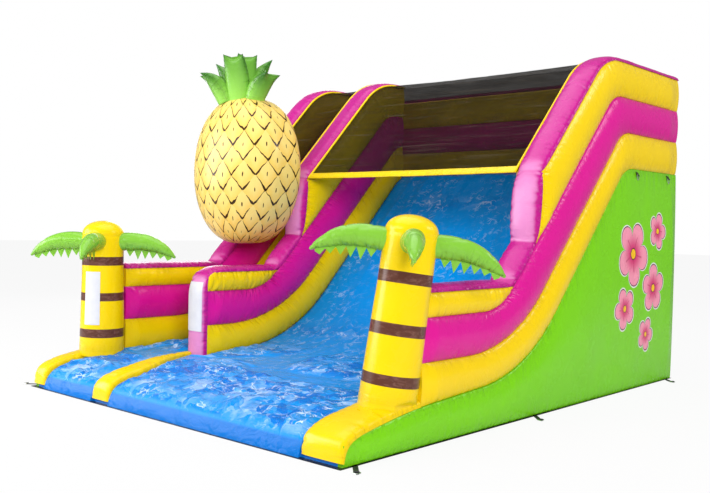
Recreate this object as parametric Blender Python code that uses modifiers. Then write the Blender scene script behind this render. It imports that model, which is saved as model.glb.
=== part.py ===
"""Inflatable water-lane slide: two lanes side by side under a mesh canopy.

X runs across the lanes, +Y from the landing to the back wall, +Z up. The origin
is on the floor, in the middle of the base. A wide slide lane is on the right
and a narrow climbing lane on the left, parted by a middle wall. Each wall is a
stack of air tubes, one between each pair of seams. Every seam is the same kind
of line: level at the landing, up at the slope's angle, then level at the top.
"""
import math

import bmesh
import bpy
import numpy as np
from mathutils import Matrix, Vector

# Fits
GAP = 0.0003
SKIN = 0.003
COVER_CLEARANCE = 0.004
EDGE_STEP = 0.01
CUT_CLEARANCE = 0.0006

# Plan
BODY_LENGTH = 5.52
SLIDE_WIDTH = 2.68
CLIMB_WIDTH = 0.70
WALL_SEAM = 0.26
WALL_BULGE = 0.035
PANEL_THICKNESS = 0.05
PANEL_BULGE = 0.045

# Heights of the seams at the landing and at the platform
SLOPE = math.radians(46)
FRONT_LIP_Z = 0.15
SHOULDER_RUN = 0.75
SHOULDER_Z = 0.298
SHOULDER_POWER = 0.72
FLOOR_SEAM = {"low": 0.40, "high": 2.30, "foot_y": -0.36, "foot_r": 1.8, "head_r": 0.45}
LOWER_SEAM = {"low": 0.63, "high": 2.66, "foot_y": -0.571, "foot_r": 1.6, "head_r": 0.40}
MIDDLE_SEAM = {"low": 0.97, "high": 3.01, "foot_y": -0.78, "head_r": 0.40}
LOW_TOP_Z = 1.16
TOP_Z = 3.36
NOTCH_Z = 1.534
COLUMN_TOP_Y = -0.171
RIDGE_RADIUS = 0.70
LOW_CORNER_RADIUS = 0.12
CUSHION_CROWN = 0.055
CUSHION_OVERHANG = 0.01

# Ends of the walls
OUTER_FRONT_Y = -1.86
MIDDLE_FRONT_Y = -1.55
MIDDLE_REAR_Y = 1.47
END_ROUND = 0.05

# Front noses
NOSE_CROWN = 0.06
NOSE_WIDTH_RIGHT = 0.41
NOSE_WIDTH_LEFT = 0.21
NOSE_WIDTH_MIDDLE = 0.27
MIDDLE_NOSE_SHIFT = 0.09
NOSE_FLOOR_Z = 0.03
NOSE_LIP = 0.01

# Covers and steps
APRON_REACH = 0.03
CLIMB_COVER_END = -0.95
STEP_COUNT = 5
STEP_RADIUS = 0.065
STEP_MAT = 0.02
STEP_START = 0.35
STEP_END_MARGIN = 0.53

# Canopy
HEM_WIDTH = 0.07
HEM_THICKNESS = 0.008
NET_THICKNESS = 0.003

# Palms
PALM_BASE_R = 0.222
PALM_TOP_R = 0.206
PALM_STRAIGHT = 0.55
PALM_DOME = 0.145
PALM_SINK = 0.12
PALM_SIDES = 24
LEAF_BELOW_TOP = 0.215
LEAF_REACH = 0.72
LEAF_RISE = 0.05
LEAF_DROP = 0.19
LEAF_ROOT_R = 0.096
LEAF_TIP_R = 0.028
FRINGE_TEETH = 5
FRINGE_DEPTH = 0.10
FRINGE_THICKNESS = 0.006
LEAF_AZIMUTHS = (42, 132, 222, 312)
RIGHT_PALM = {"inset": 0.18, "y": -2.03, "height": 1.41, "lean_x": 0.09, "lean_y": 0.165}
LEFT_PALM = {"inset": 0.195, "y": -2.09, "height": 1.315, "lean_x": 0.0, "lean_y": 0.0}

# Fruit figure on the climbing lane's columns
FRUIT_WIDTH = 1.29
FRUIT_FRONT = 0.42
FRUIT_REAR = 0.43
FRUIT_BACK_POWER = 5.0
FRUIT_Y = -0.62
FRUIT_BOTTOM_Z = 1.43
FRUIT_TOP_Z = 3.06
CROWN_LEAVES = 7
CROWN_LENGTHS = (0.52, 0.54)
CROWN_LEANS = (math.radians(64), math.radians(38))
CROWN_ROOT_SPREAD = 0.06
CROWN_ROOT_BEND = 0.35
CROWN_LEAF_R = 0.122

# Anchor tabs and rings
TAB_WIDTH = 0.040
TAB_REACH = 0.17
TAB_ANGLE = math.radians(45)
UPPER_TAB_DROP = 0.045
UPPER_TAB_Z = 0.016
UPPER_TAB_SINK = 0.028
UPPER_RING_OFF = 0.030
RING_WIRE_R = 0.004
RING_BAR = 0.054
RING_REACH = 0.050
LOOP_CLEARANCE = 0.0008
LOOP_WALL = 0.003
BASE_ANCHORS_Y = (-2.60, -0.22, 2.60)
UPPER_ANCHORS_Y = (1.72, 2.50)

# Inflation sleeve at the back
SLEEVE_X = -1.10
SLEEVE_Z = 0.30
SLEEVE_R = 0.11
SLEEVE_WALL = 0.004
SLEEVE_LENGTH = 0.32

# Worked out from the sizes above
FRONT_Y = -BODY_LENGTH / 2
BACK_Y = BODY_LENGTH / 2
BED_FRONT_Y = FRONT_Y + NOSE_CROWN
HALF_WIDTH = (3 * WALL_SEAM + SLIDE_WIDTH + CLIMB_WIDTH) / 2
RIGHT_X = HALF_WIDTH - WALL_SEAM / 2
LEFT_X = -RIGHT_X
MIDDLE_X = LEFT_X + WALL_SEAM + CLIMB_WIDTH
CORE_HALF = HALF_WIDTH - PANEL_THICKNESS
BACK_WALL_Y = BACK_Y - WALL_SEAM / 2 - GAP
FLOOR_Z = SKIN + GAP
CUSHION_HALF = WALL_SEAM / 2 + CUSHION_OVERHANG
K = math.tan(SLOPE)

YELLOW = (0.93, 0.68, 0.005)
MAGENTA = (0.68, 0.012, 0.27)
GREEN = (0.19, 0.53, 0.02)
LEAF_GREEN = (0.11, 0.48, 0.03)
BLUE = (0.0, 0.19, 0.72)
BLACK = (0.02, 0.02, 0.022)
FRUIT = (0.92, 0.68, 0.22)
STEEL = (0.62, 0.63, 0.65)


# Scene helpers

def clear_scene():
    for old in list(bpy.data.objects):
        bpy.data.objects.remove(old, do_unlink=True)


def make_collection(name):
    made = bpy.data.collections.new(name)
    bpy.context.scene.collection.children.link(made)
    return made


def make_material(name, colour, roughness=0.3, metallic=0.0):
    made = bpy.data.materials.new(name)
    made.use_nodes = True
    shader = made.node_tree.nodes["Principled BSDF"]
    shader.inputs["Base Color"].default_value = (*colour, 1.0)
    shader.inputs["Roughness"].default_value = roughness
    shader.inputs["Metallic"].default_value = metallic
    return made


def add_object(name, data, colour, roughness=0.3, metallic=0.0, where=None):
    made = bpy.data.objects.new(name, data)
    (where or PARTS).objects.link(made)
    if colour is not None:
        if not data.materials:
            data.materials.append(make_material(name, colour, roughness, metallic))
    return made


def add_cutter(name, data):
    made = add_object(name, data, None, where=CUTTERS)
    made.hide_render = True
    made.display_type = "WIRE"
    return made


def boolean(target, tool, operation):
    step = target.modifiers.new(operation.lower(), "BOOLEAN")
    step.operation = operation
    step.object = tool
    step.solver = "EXACT"


def smooth(mesh, angle=math.radians(40)):
    mesh.shade_smooth()
    mesh.set_sharp_from_angle(angle=angle)


def baked(source):
    """The evaluated mesh of an object, welded, with the object itself removed."""
    bpy.context.view_layer.update()
    graph = bpy.context.evaluated_depsgraph_get()
    mesh = bpy.data.meshes.new_from_object(source.evaluated_get(graph))
    mesh.transform(source.matrix_world)
    shell = bmesh.new()
    shell.from_mesh(mesh)
    bmesh.ops.remove_doubles(shell, verts=shell.verts, dist=1e-5)
    bmesh.ops.recalc_face_normals(shell, faces=shell.faces)
    shell.to_mesh(mesh)
    shell.free()
    mesh.materials.clear()
    bpy.data.objects.remove(source, do_unlink=True)
    return mesh


# Curves in the YZ plane, as arrays of (y, z)

def arc(corner, start_angle, end_angle, radius, count):
    """Points of the round that replaces a corner between two directions."""
    turn = end_angle - start_angle
    reach = radius * math.tan(abs(turn) / 2)
    side = math.copysign(1, turn)
    first = np.array(corner) - reach * np.array([math.cos(start_angle), math.sin(start_angle)])
    centre = first + side * radius * np.array([-math.sin(start_angle), math.cos(start_angle)])
    angles = np.linspace(start_angle, end_angle, count)
    normals = np.stack([np.sin(angles), -np.cos(angles)], 1)
    return centre + side * radius * normals


def slope_y(seam, z):
    """Where the straight part of a seam passes a height."""
    return seam["foot_y"] + (z - seam["low"]) / K


def foot(seam, count=7, pitch=0.0):
    radius = seam.get("foot_r", (LOW_TOP_Z - seam["low"]) / (1 - math.cos(SLOPE)))
    return arc((seam["foot_y"], seam["low"]), pitch, SLOPE, radius, count)


def head(seam, count=5):
    return arc((slope_y(seam, seam["high"]), seam["high"]), SLOPE, 0.0, seam["head_r"], count)


def between(a, b, count):
    """Evenly spaced points strictly between two others."""
    shares = np.linspace(0, 1, count + 2)[1:-1, None]
    return np.array(a) + (np.array(b) - np.array(a)) * shares


def normals_of(points):
    """Unit normals to the left of a path, lengthened at its corners to keep the offset even."""
    points = np.asarray(points, float)
    steps = np.diff(points, axis=0)
    steps /= np.linalg.norm(steps, axis=1)[:, None]
    left = np.stack([-steps[:, 1], steps[:, 0]], 1)
    before = np.vstack([left[:1], left])
    after = np.vstack([left, left[-1:]])
    mean = before + after
    mean /= np.linalg.norm(mean, axis=1)[:, None]
    return mean / np.sum(mean * before, axis=1)[:, None]


def offset(points, distance):
    return np.asarray(points, float) + normals_of(points) * distance


def shoulder(count=7):
    """The bed's front edge, from its lip up to the landing."""
    angles = np.linspace(0, math.pi / 2, count)
    y = BED_FRONT_Y + SHOULDER_RUN * (1 - np.cos(angles))
    z = FRONT_LIP_Z + (SHOULDER_Z - FRONT_LIP_Z) * (1 - np.cos(angles)) ** SHOULDER_POWER
    return np.stack([y, z], 1)


LANDING_START = np.array([BED_FRONT_Y + SHOULDER_RUN, SHOULDER_Z])
LANDING_PITCH = math.atan2(
    FLOOR_SEAM["low"] - SHOULDER_Z, FLOOR_SEAM["foot_y"] - LANDING_START[0]
)


def landing_at(y):
    """The landing is one straight, slightly rising line up to the foot of the slope."""
    return np.array([y, SHOULDER_Z + (y - LANDING_START[0]) * math.tan(LANDING_PITCH)])


FLOOR_FOOT = foot(FLOOR_SEAM, pitch=LANDING_PITCH)
FLOOR_HEAD = head(FLOOR_SEAM)


def seam_line(seam, start_y, end_y, flat_start):
    """A seam from the wall's front to its end: level, foot, slope, head, level."""
    rising = foot(seam, pitch=LANDING_PITCH if flat_start == "landing" else 0.0)
    first = landing_at(start_y) if flat_start == "landing" else np.array([start_y, seam["low"]])
    falling = head(seam)
    parts = [first[None], rising, between(rising[-1], falling[0], 3), falling]
    line = np.vstack(parts)
    line = line[line[:, 0] < end_y - 1e-6]
    return np.vstack([line, point_at(np.vstack([parts[-1], [[BACK_Y, seam["high"]]]]), end_y)])


def point_at(line, y):
    """The point of a line that runs along +Y at a given y."""
    return np.array([y, np.interp(y, line[:, 0], line[:, 1])])


# Solids

def loft(rings):
    """A closed mesh through rings of equal point count, with flat ends."""
    rings = np.asarray(rings, float)
    count = rings.shape[1]
    verts = [tuple(point) for point in rings.reshape(-1, 3)]
    faces = [tuple(range(count)), tuple((len(rings) - 1) * count + i for i in range(count))]
    for station in range(len(rings) - 1):
        base = station * count
        for i in range(count):
            j = (i + 1) % count
            faces.append((base + i, base + j, base + count + j, base + count + i))
    mesh = bpy.data.meshes.new("loft")
    mesh.from_pydata(verts, [], faces)
    shell = bmesh.new()
    shell.from_mesh(mesh)
    bmesh.ops.recalc_face_normals(shell, faces=shell.faces)
    shell.to_mesh(mesh)
    shell.free()
    smooth(mesh)
    return mesh


def outline_curve(outlines, thickness):
    """A flat outline, with any holes, filled and given a thickness."""
    curve = bpy.data.curves.new("outline", "CURVE")
    curve.dimensions = "2D"
    curve.fill_mode = "BOTH"
    curve.extrude = thickness / 2
    for outline in outlines:
        spline = curve.splines.new("POLY")
        spline.points.add(len(outline) - 1)
        for point, (a, b) in zip(spline.points, outline):
            point.co = (a, b, 0, 1)
        spline.use_cyclic_u = True
    return curve


def side_profile(outline, x_from, x_to):
    """A mesh with an outline in the YZ plane, between two places along X."""
    made = add_object("profile", outline_curve([outline], x_to - x_from), None)
    made.matrix_world = Matrix(
        ((0, 0, 1, (x_from + x_to) / 2), (1, 0, 0, 0), (0, 1, 0, 0), (0, 0, 0, 1))
    )
    return baked(made)


def tube_ring(low, high, centre, seam, bulge, sides=5):
    """One cross-section of an air tube held between two seams."""
    low = np.asarray(low, float)
    high = np.asarray(high, float)
    chord = high - low
    height = np.linalg.norm(chord)
    chord = chord / height
    low = low + chord * GAP / 2
    high = high - chord * GAP / 2
    swell = min(bulge, 0.3 * height)
    shares = np.linspace(0, 1, sides + 1)
    out = seam / 2 + swell * np.sin(np.pi * shares) ** 0.8
    spine = low + (high - low) * shares[:, None]
    right = [(centre + o, *p) for o, p in zip(out, spine)]
    left = [(centre - o, *p) for o, p in zip(out[::-1], spine[::-1])]
    return np.array(right + left)


def rounded_end(ring, direction):
    """Two more rings that close a tube's end in a soft round."""
    middle = ring.mean(axis=0)
    out = []
    for share, size in ((0.65, 0.93), (1.0, 0.74)):
        out.append(middle + (ring - middle) * size + np.array(direction) * END_ROUND * share)
    return out


def wall_tube(low_line, high_line, centre, round_rear=True):
    """An air tube along a wall, between a lower and an upper seam."""
    rings = [
        tube_ring(low, high, centre, WALL_SEAM, WALL_BULGE)
        for low, high in zip(low_line, high_line)
    ]
    if round_rear:
        rings += rounded_end(rings[-1], (0, 1, 0))
    return loft(rings)


def strip(path, centre, half, crown, grow=0.0, power=2.6, sides=6):
    """A crowned strip along a path in the YZ plane, its back on the path."""
    path = np.asarray(path, float)
    normals = normals_of(path)
    angles = np.linspace(0, math.pi, sides + 1)
    across = (half + grow) * np.sign(np.cos(angles)) * np.abs(np.cos(angles)) ** (2 / power)
    lift = GAP / 2 - grow + (crown + 2 * grow) * np.abs(np.sin(angles)) ** (2 / power)
    rings = []
    for point, normal in zip(path, normals):
        rings.append([(centre + a, *(point + normal * h)) for a, h in zip(across, lift)])
    return loft(rings)


# Seams shared by the walls, the core and the covers

def top_line(front_y, end_y, capped):
    """The wall's free edge: along the low top, up the step, over the ridge and back.

    A capped wall's edge starts on the bed and rounds up its front end first. The
    others end against a palm column.
    """
    pinch = foot(MIDDLE_SEAM)[-1]
    notch = np.array([slope_y(MIDDLE_SEAM, NOTCH_Z), NOTCH_Z])
    column_top = np.array([COLUMN_TOP_Y, COLUMN_TOP_Z])
    ridge = arc(RIDGE_CORNER, SLOPE, 0.0, RIDGE_RADIUS, 5)
    low = np.array([[front_y, LOW_TOP_Z], pinch])
    if capped:
        start = landing_at(front_y) + (0, GAP / 2)
        corner = arc((front_y, LOW_TOP_Z), math.pi / 2, 0.0, LOW_CORNER_RADIUS, 4)
        low = np.vstack([[start], corner, [pinch]])
    high = np.vstack([
        [notch],
        between(notch, column_top, 1),
        [column_top],
        between(column_top, ridge[0], 2),
        ridge,
    ])
    high = np.vstack([high, [[end_y, TOP_Z]]])
    return low, high


RIDGE_Y = 0.986
RIDGE_CORNER = (RIDGE_Y, TOP_Z)
COLUMN_TOP_Z = TOP_Z - (RIDGE_Y - COLUMN_TOP_Y) * K


def wall(side, centre, front_y, rear_y, outer=True):
    """Four tubes and the edge cushion of one wall.

    An outer wall stands behind a palm and is rounded at the rear. The middle one
    has a cushioned front end and stops flat on the platform.
    """
    round_rear = outer
    end_y = rear_y - (END_ROUND if round_rear else 0.0)
    start_y = front_y + GAP / 2
    floor_line = seam_line(FLOOR_SEAM, start_y, end_y, "landing")
    lower_line = seam_line(LOWER_SEAM, start_y, end_y, "level")
    middle_line = seam_line(MIDDLE_SEAM, start_y, end_y, "level")
    low, high = top_line(front_y, end_y, capped=not outer)

    lower = wall_tube(floor_line, lower_line, centre, round_rear)
    add_object(f"{side}_lower_tube", lower, YELLOW)
    middle = wall_tube(lower_line, middle_line, centre, round_rear)
    add_object(f"{side}_middle_tube", middle, MAGENTA)

    # The upper tube starts in the notch, where its two seams part
    seam = upper_pairs(middle_line, high)
    add_object(f"{side}_upper_tube", wall_tube(*seam, centre, round_rear), YELLOW)

    # The short tube under the low top thins out where the middle seam reaches that top
    lens = low_pairs(start_y, low, foot(MIDDLE_SEAM))
    add_object(f"{side}_low_tube", wall_tube(*lens, centre, round_rear=False), YELLOW)

    path = np.vstack([low, high])
    path[-1, 0] = rear_y - GAP
    edge = strip(path, centre, CUSHION_HALF, CUSHION_CROWN)
    add_object(f"{side}_edge_cushion", edge, MAGENTA)


def upper_pairs(middle_line, high):
    """Matching points of the middle seam and the free edge, from the notch to the rear."""
    falling = head(MIDDLE_SEAM)
    notch = high[0]
    run = between(notch, falling[0], 4)
    rear = middle_line[-1]
    seam = np.vstack([notch[None], run, falling, rear[None]])
    first_low = seam[0] + (seam[1] - seam[0]) * 0.15
    first_high = high[0] + (high[1] - high[0]) * 0.15
    return np.vstack([first_low, seam[1:]]), np.vstack([first_high, high[1:]])


def low_pairs(start_y, low, rising):
    """Matching points of the middle seam and the low top, ending in a thin point."""
    corner = low[1:-1] if len(low) > 2 else low[:1]
    lower = [(max(y, start_y), MIDDLE_SEAM["low"]) for y, _ in corner]
    upper = [(max(y, start_y), z) for y, z in corner]
    last = rising[-2] + (rising[-1] - rising[-2]) * 0.6
    for y, z in [*rising[:-1], last]:
        lower.append((y, z))
        upper.append((y, LOW_TOP_Z))
    return np.array(lower), np.array(upper)


def back_wall():
    """Three tubes and a cushion across the back, on the platform."""
    reach = RIGHT_X - WALL_SEAM / 2 - WALL_BULGE - GAP
    levels = (FLOOR_SEAM["high"], LOWER_SEAM["high"], MIDDLE_SEAM["high"], TOP_Z)
    names = ("lower_tube", "middle_tube", "upper_tube")
    for name, low, high, colour in zip(names, levels, levels[1:], (YELLOW, MAGENTA, YELLOW)):
        rings = []
        for x in np.linspace(-reach, reach, 5):
            ring = tube_ring((0, low), (0, high), 0.0, WALL_SEAM, WALL_BULGE)
            rings.append([(x, BACK_WALL_Y + a, z) for a, _, z in ring])
        add_object(f"back_{name}", loft(rings), colour)
    rings = []
    angles = np.linspace(0, math.pi, 7)
    for x in np.linspace(-reach, reach, 3):
        ring = []
        for angle in angles:
            across = CUSHION_HALF * np.sign(np.cos(angle)) * abs(np.cos(angle)) ** (2 / 2.6)
            lift = TOP_Z + GAP / 2 + CUSHION_CROWN * abs(np.sin(angle)) ** (2 / 2.6)
            ring.append((x, min(BACK_WALL_Y + across, BACK_Y - GAP), lift))
        rings.append(ring)
    add_object("back_edge_cushion", loft(rings), MAGENTA)


def floor_path(front_y, end_y):
    """The walking line of the core's top, from a place on the landing to one on the platform."""
    straight = between(FLOOR_FOOT[-1], FLOOR_HEAD[0], 3)
    line = np.vstack([LANDING_START, FLOOR_FOOT, straight, FLOOR_HEAD])
    line = np.vstack([line, [[BACK_Y, FLOOR_SEAM["high"]]]])
    inside = line[(line[:, 0] > front_y + 1e-6) & (line[:, 0] < end_y - 1e-6)]
    return np.vstack([point_at(line, front_y), inside, point_at(line, end_y)])


def bed_front(reach):
    """The bed's front, which bulges forward at the foot where an apron hangs over it."""
    return np.array([
        [BED_FRONT_Y - 2.2 * reach, FLOOR_Z],
        [BED_FRONT_Y - 1.3 * reach, FRONT_LIP_Z * 0.5],
        [BED_FRONT_Y - 0.6 * reach, FRONT_LIP_Z],
    ])


def bed_outline(reach):
    rear = landing_at(FLOOR_FOOT[0][0] - GAP)
    top = offset(np.vstack([bed_front(reach), shoulder()[1:], [rear]]), -GAP / 2)
    top[0, 1] = FLOOR_Z
    return np.vstack([top, [[top[-1, 0], FLOOR_Z]]])


def core():
    """The blue bed, the ramp and the platform block that the walls stand on."""
    x_to = CORE_HALF - GAP
    stations = [(-x_to, 0.0)]
    for left_step, right_step in (climb_cover_edges(), slide_cover_edges()):
        low = left_step[1]
        high = right_step[1]
        near = COVER_CLEARANCE / 4
        stations += [(low - 3 * near, 0.0), (low - near, APRON_REACH)]
        stations += [(high + near, APRON_REACH), (high + 3 * near, 0.0)]
    stations.append((x_to, 0.0))
    rings = [[(x, *point) for point in bed_outline(reach)] for x, reach in stations]
    add_object("landing_bed", loft(rings), BLUE)

    platform_y = FLOOR_HEAD[-1][0]
    ramp_top = offset(floor_path(FLOOR_FOOT[0][0], platform_y), -GAP / 2)
    ramp = np.vstack([[[ramp_top[0, 0], FLOOR_Z]], ramp_top, [[ramp_top[-1, 0], FLOOR_Z]]])
    add_object("ramp_body", side_profile(ramp, -x_to, x_to), BLUE)

    front = ramp_top[-1, 0] + GAP
    rear = BACK_Y - PANEL_THICKNESS - GAP
    high = FLOOR_SEAM["high"] - GAP / 2
    block = [(front, FLOOR_Z), (front, high), (rear, high), (rear, FLOOR_Z)]
    add_object("platform_block", side_profile(block, -x_to, x_to), BLUE)


def panel_ring(y, top, side, grow=0.0):
    """A cross-section of a side panel, swelling between the floor and its top seam."""
    shares = np.linspace(0, 1, 6)
    fade = min(1.0, (y - FRONT_Y) / 0.30, (BACK_Y - y) / 0.20 + 0.25)
    low = FLOOR_Z - grow
    high = top + grow
    swell = min(PANEL_BULGE, 0.12 * (top - FLOOR_Z)) * fade
    outer = HALF_WIDTH + grow + swell * np.sin(np.pi * shares) ** 0.6
    inner = CORE_HALF - grow
    ring = [(side * inner, y, low), (side * inner, y, high)]
    for share, x in zip(shares[::-1], outer[::-1]):
        ring.append((side * x, y, low + (high - low) * share))
    return ring


def panel_stations():
    """Top seam of a side panel, level with the core's top all the way."""
    line = np.vstack([shoulder(), floor_path(LANDING_START[0] + GAP, BACK_Y)])
    line = offset(line, -GAP / 2)
    line[-1, 0] = BACK_Y
    return line


def side_panels():
    for name, side in (("right", 1), ("left", -1)):
        rings = [panel_ring(y, z, side) for y, z in panel_stations()]
        panel = add_object(f"{name}_side_panel", loft(rings), GREEN, 0.35)
        for y in UPPER_ANCHORS_Y:
            boolean(panel, upper_tab(side, y), "UNION")


def back_panel():
    """The green sheet below the platform at the back, with a broad soft swell."""
    reach = CORE_HALF - GAP
    high = FLOOR_SEAM["high"] - GAP / 2
    rings = []
    for x in np.linspace(-reach, reach, 9):
        shares = np.linspace(0, 1, 6)
        across = max(0.0, 1 - (abs(x) / reach) ** 4)
        inner = BACK_Y - PANEL_THICKNESS
        ring = [(x, inner, FLOOR_Z), (x, inner, high)]
        for share in shares[::-1]:
            y = BACK_Y - GAP + PANEL_BULGE * across * math.sin(math.pi * share) ** 0.6
            ring.append((x, y, FLOOR_Z + (high - FLOOR_Z) * share))
        rings.append(ring)
    add_object("back_panel", loft(rings), GREEN, 0.35)


def nose_path(rear_y):
    line = np.vstack([[[BED_FRONT_Y, NOSE_FLOOR_Z]], shoulder()])
    keep = line[line[:, 0] < rear_y - 0.02]
    if rear_y > LANDING_START[0]:
        return np.vstack([keep, landing_at(rear_y)])
    return np.vstack([keep, point_at(line, rear_y)])


def nose(x_from, x_to, rear_y, grow=0.0):
    half = (x_to - x_from) / 2
    return strip(nose_path(rear_y), (x_from + x_to) / 2, half, NOSE_CROWN, grow, power=3.2)


OUTER_NOSE_REAR = OUTER_FRONT_Y - GAP
MIDDLE_NOSE_REAR = MIDDLE_FRONT_Y - CUSHION_CROWN - GAP
NOSES = {
    "right": (HALF_WIDTH + NOSE_LIP - NOSE_WIDTH_RIGHT, HALF_WIDTH + NOSE_LIP, OUTER_NOSE_REAR),
    "left": (-HALF_WIDTH - NOSE_LIP, -HALF_WIDTH - NOSE_LIP + NOSE_WIDTH_LEFT, OUTER_NOSE_REAR),
    "middle": (
        MIDDLE_X + MIDDLE_NOSE_SHIFT - NOSE_WIDTH_MIDDLE / 2,
        MIDDLE_X + MIDDLE_NOSE_SHIFT + NOSE_WIDTH_MIDDLE / 2,
        MIDDLE_NOSE_REAR,
    ),
}


def noses():
    for name, (x_from, x_to, rear_y) in NOSES.items():
        add_object(f"{name}_nose", nose(x_from, x_to, rear_y), YELLOW)


def cover_path(end_y):
    """The covers' line: up over the bed's front, along the bed and up the ramp."""
    rest = floor_path(LANDING_START[0] + 0.02, end_y)
    return np.vstack([bed_front(APRON_REACH), shoulder()[1:], rest])


def cover_mesh(left_step, right_step, end_y, grow=0.0):
    """A thin cover whose side edges step out where a nose ends and a wall begins."""
    path = cover_path(end_y)
    for y in sorted({left_step[0], right_step[0]}):
        for place in (y, y + EDGE_STEP):
            point = landing_at(place)
            index = np.searchsorted(path[:, 0], place)
            path = np.insert(path, index, point, axis=0)
    normals = normals_of(path)
    rings = []
    for point, normal in zip(path, normals):
        x_from = edge_at(left_step, point[0]) - grow
        x_to = edge_at(right_step, point[0]) + grow
        low = point + normal * (GAP / 2 - grow)
        high = point + normal * (GAP / 2 + SKIN + grow)
        rings.append([(x_from, *low), (x_to, *low), (x_to, *high), (x_from, *high)])
    return loft(rings)


def edge_at(step, y):
    """The edge's X: the nose's before the step, the wall's after it."""
    place, before, after = step
    return before if y < place + EDGE_STEP / 2 else after


def edge_step(nose_x, wall_x, rear_y, side):
    """A cover edge's step: where it is, and the X beside the nose and beside the wall.

    It comes before the nose's end where the wall reaches further over the cover.
    """
    wall_reaches = side * (wall_x - nose_x) > 0
    return rear_y + (-0.014 if wall_reaches else 0.002), nose_x, wall_x


def cover_edges(left_nose, left_wall, left_rear, right_nose, right_wall, right_rear):
    beside_wall = CUSHION_HALF + COVER_CLEARANCE
    left_nose_x = NOSES[left_nose][1] + COVER_CLEARANCE
    right_nose_x = NOSES[right_nose][0] - COVER_CLEARANCE
    return (
        edge_step(left_nose_x, left_wall + beside_wall, left_rear, 1),
        edge_step(right_nose_x, right_wall - beside_wall, right_rear, -1),
    )


def slide_cover_edges():
    return cover_edges("middle", MIDDLE_X, MIDDLE_NOSE_REAR, "right", RIGHT_X, OUTER_NOSE_REAR)


def climb_cover_edges():
    return cover_edges("left", LEFT_X, OUTER_NOSE_REAR, "middle", MIDDLE_X, MIDDLE_NOSE_REAR)


def covers():
    rear = BACK_WALL_Y - WALL_SEAM / 2 - WALL_BULGE - COVER_CLEARANCE
    platform_start = MIDDLE_REAR_Y + COVER_CLEARANCE
    slide = cover_mesh(*slide_cover_edges(), platform_start)
    add_object("slide_cover", slide, BLUE, 0.15)
    climb = cover_mesh(*climb_cover_edges(), CLIMB_COVER_END)
    add_object("climb_cover", climb, BLUE, 0.15)
    reach = RIGHT_X - CUSHION_HALF - COVER_CLEARANCE
    low = FLOOR_SEAM["high"] + GAP / 2
    front = platform_start + GAP
    mat = [(front, low), (front, low + SKIN), (rear, low + SKIN), (rear, low)]
    add_object("platform_mat", side_profile(mat, -reach, reach), BLUE, 0.2)


def climb_steps():
    """A ribbed climbing mat on the ramp: bolsters at even spacing up the slope."""
    start_y = CLIMB_COVER_END + GAP
    end_y = MIDDLE_REAR_Y
    base = offset(floor_path(start_y, end_y), GAP / 2)
    top = offset(floor_path(start_y, end_y), STEP_MAT)
    lengths = np.concatenate([[0], np.cumsum(np.linalg.norm(np.diff(top, axis=0), axis=1))])
    crest = np.linspace(STEP_START, lengths[-1] - STEP_END_MARGIN, STEP_COUNT)
    marks = []
    for centre in crest:
        for angle in np.linspace(math.pi, 0, 6):
            marks.append((centre + STEP_RADIUS * math.cos(angle), STEP_RADIUS * math.sin(angle)))
    for length in lengths:
        if all(abs(length - centre) > STEP_RADIUS * 1.2 for centre in crest):
            marks.append((length, 0.0))
    marks.sort()
    normals = normals_of(top)
    profile = []
    for length, rise in marks:
        spot = [np.interp(length, lengths, top[:, i]) for i in (0, 1)]
        normal = [np.interp(length, lengths, normals[:, i]) for i in (0, 1)]
        profile.append((spot[0] + normal[0] * rise, spot[1] + normal[1] * rise))
    outline = np.vstack([base, profile[::-1]])
    tube_half = WALL_SEAM / 2 + WALL_BULGE + GAP
    mesh = side_profile(outline, LEFT_X + tube_half, MIDDLE_X - tube_half)
    smooth(mesh)
    add_object("climb_steps", mesh, YELLOW)


def canopy():
    """Mesh nets: one down each lane's slope with a hem, and one level roof."""
    _, high = top_line(OUTER_FRONT_Y, MIDDLE_REAR_Y, capped=False)
    line = high[2:]
    inner = offset(line, GAP / 2 + 0.0005)
    hem_end = line[0] + (line[1] - line[0]) / np.linalg.norm(line[1] - line[0]) * HEM_WIDTH
    inner = np.vstack([inner[:1], inner[:1] + (hem_end - line[0]), inner[1:]])
    outer = offset(inner, NET_THICKNESS)
    normal = normals_of(inner)[0]
    outer[:2] = inner[:2] + normal * HEM_THICKNESS
    step = outer[1] + (inner[2] - inner[1]) * 0.01 - normal * (HEM_THICKNESS - NET_THICKNESS)
    outline = np.vstack([inner, outer[:1:-1], [step], outer[1::-1]])
    edge = CUSHION_HALF + GAP
    spans = {
        "slide_canopy_net": (MIDDLE_X + edge, RIGHT_X - edge),
        "climb_canopy_net": (LEFT_X + edge, MIDDLE_X - edge),
    }
    for name, (x_from, x_to) in spans.items():
        add_object(name, side_profile(outline, x_from, x_to), BLACK, 0.6)
    low = TOP_Z + GAP / 2 + 0.0005
    front = MIDDLE_REAR_Y + GAP
    rear = BACK_WALL_Y - edge
    roof = [(front, low), (front, low + NET_THICKNESS), (rear, low + NET_THICKNESS), (rear, low)]
    mesh = side_profile(roof, LEFT_X + edge, RIGHT_X - edge)
    add_object("roof_canopy_net", mesh, BLACK, 0.6)


# Palms

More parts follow.
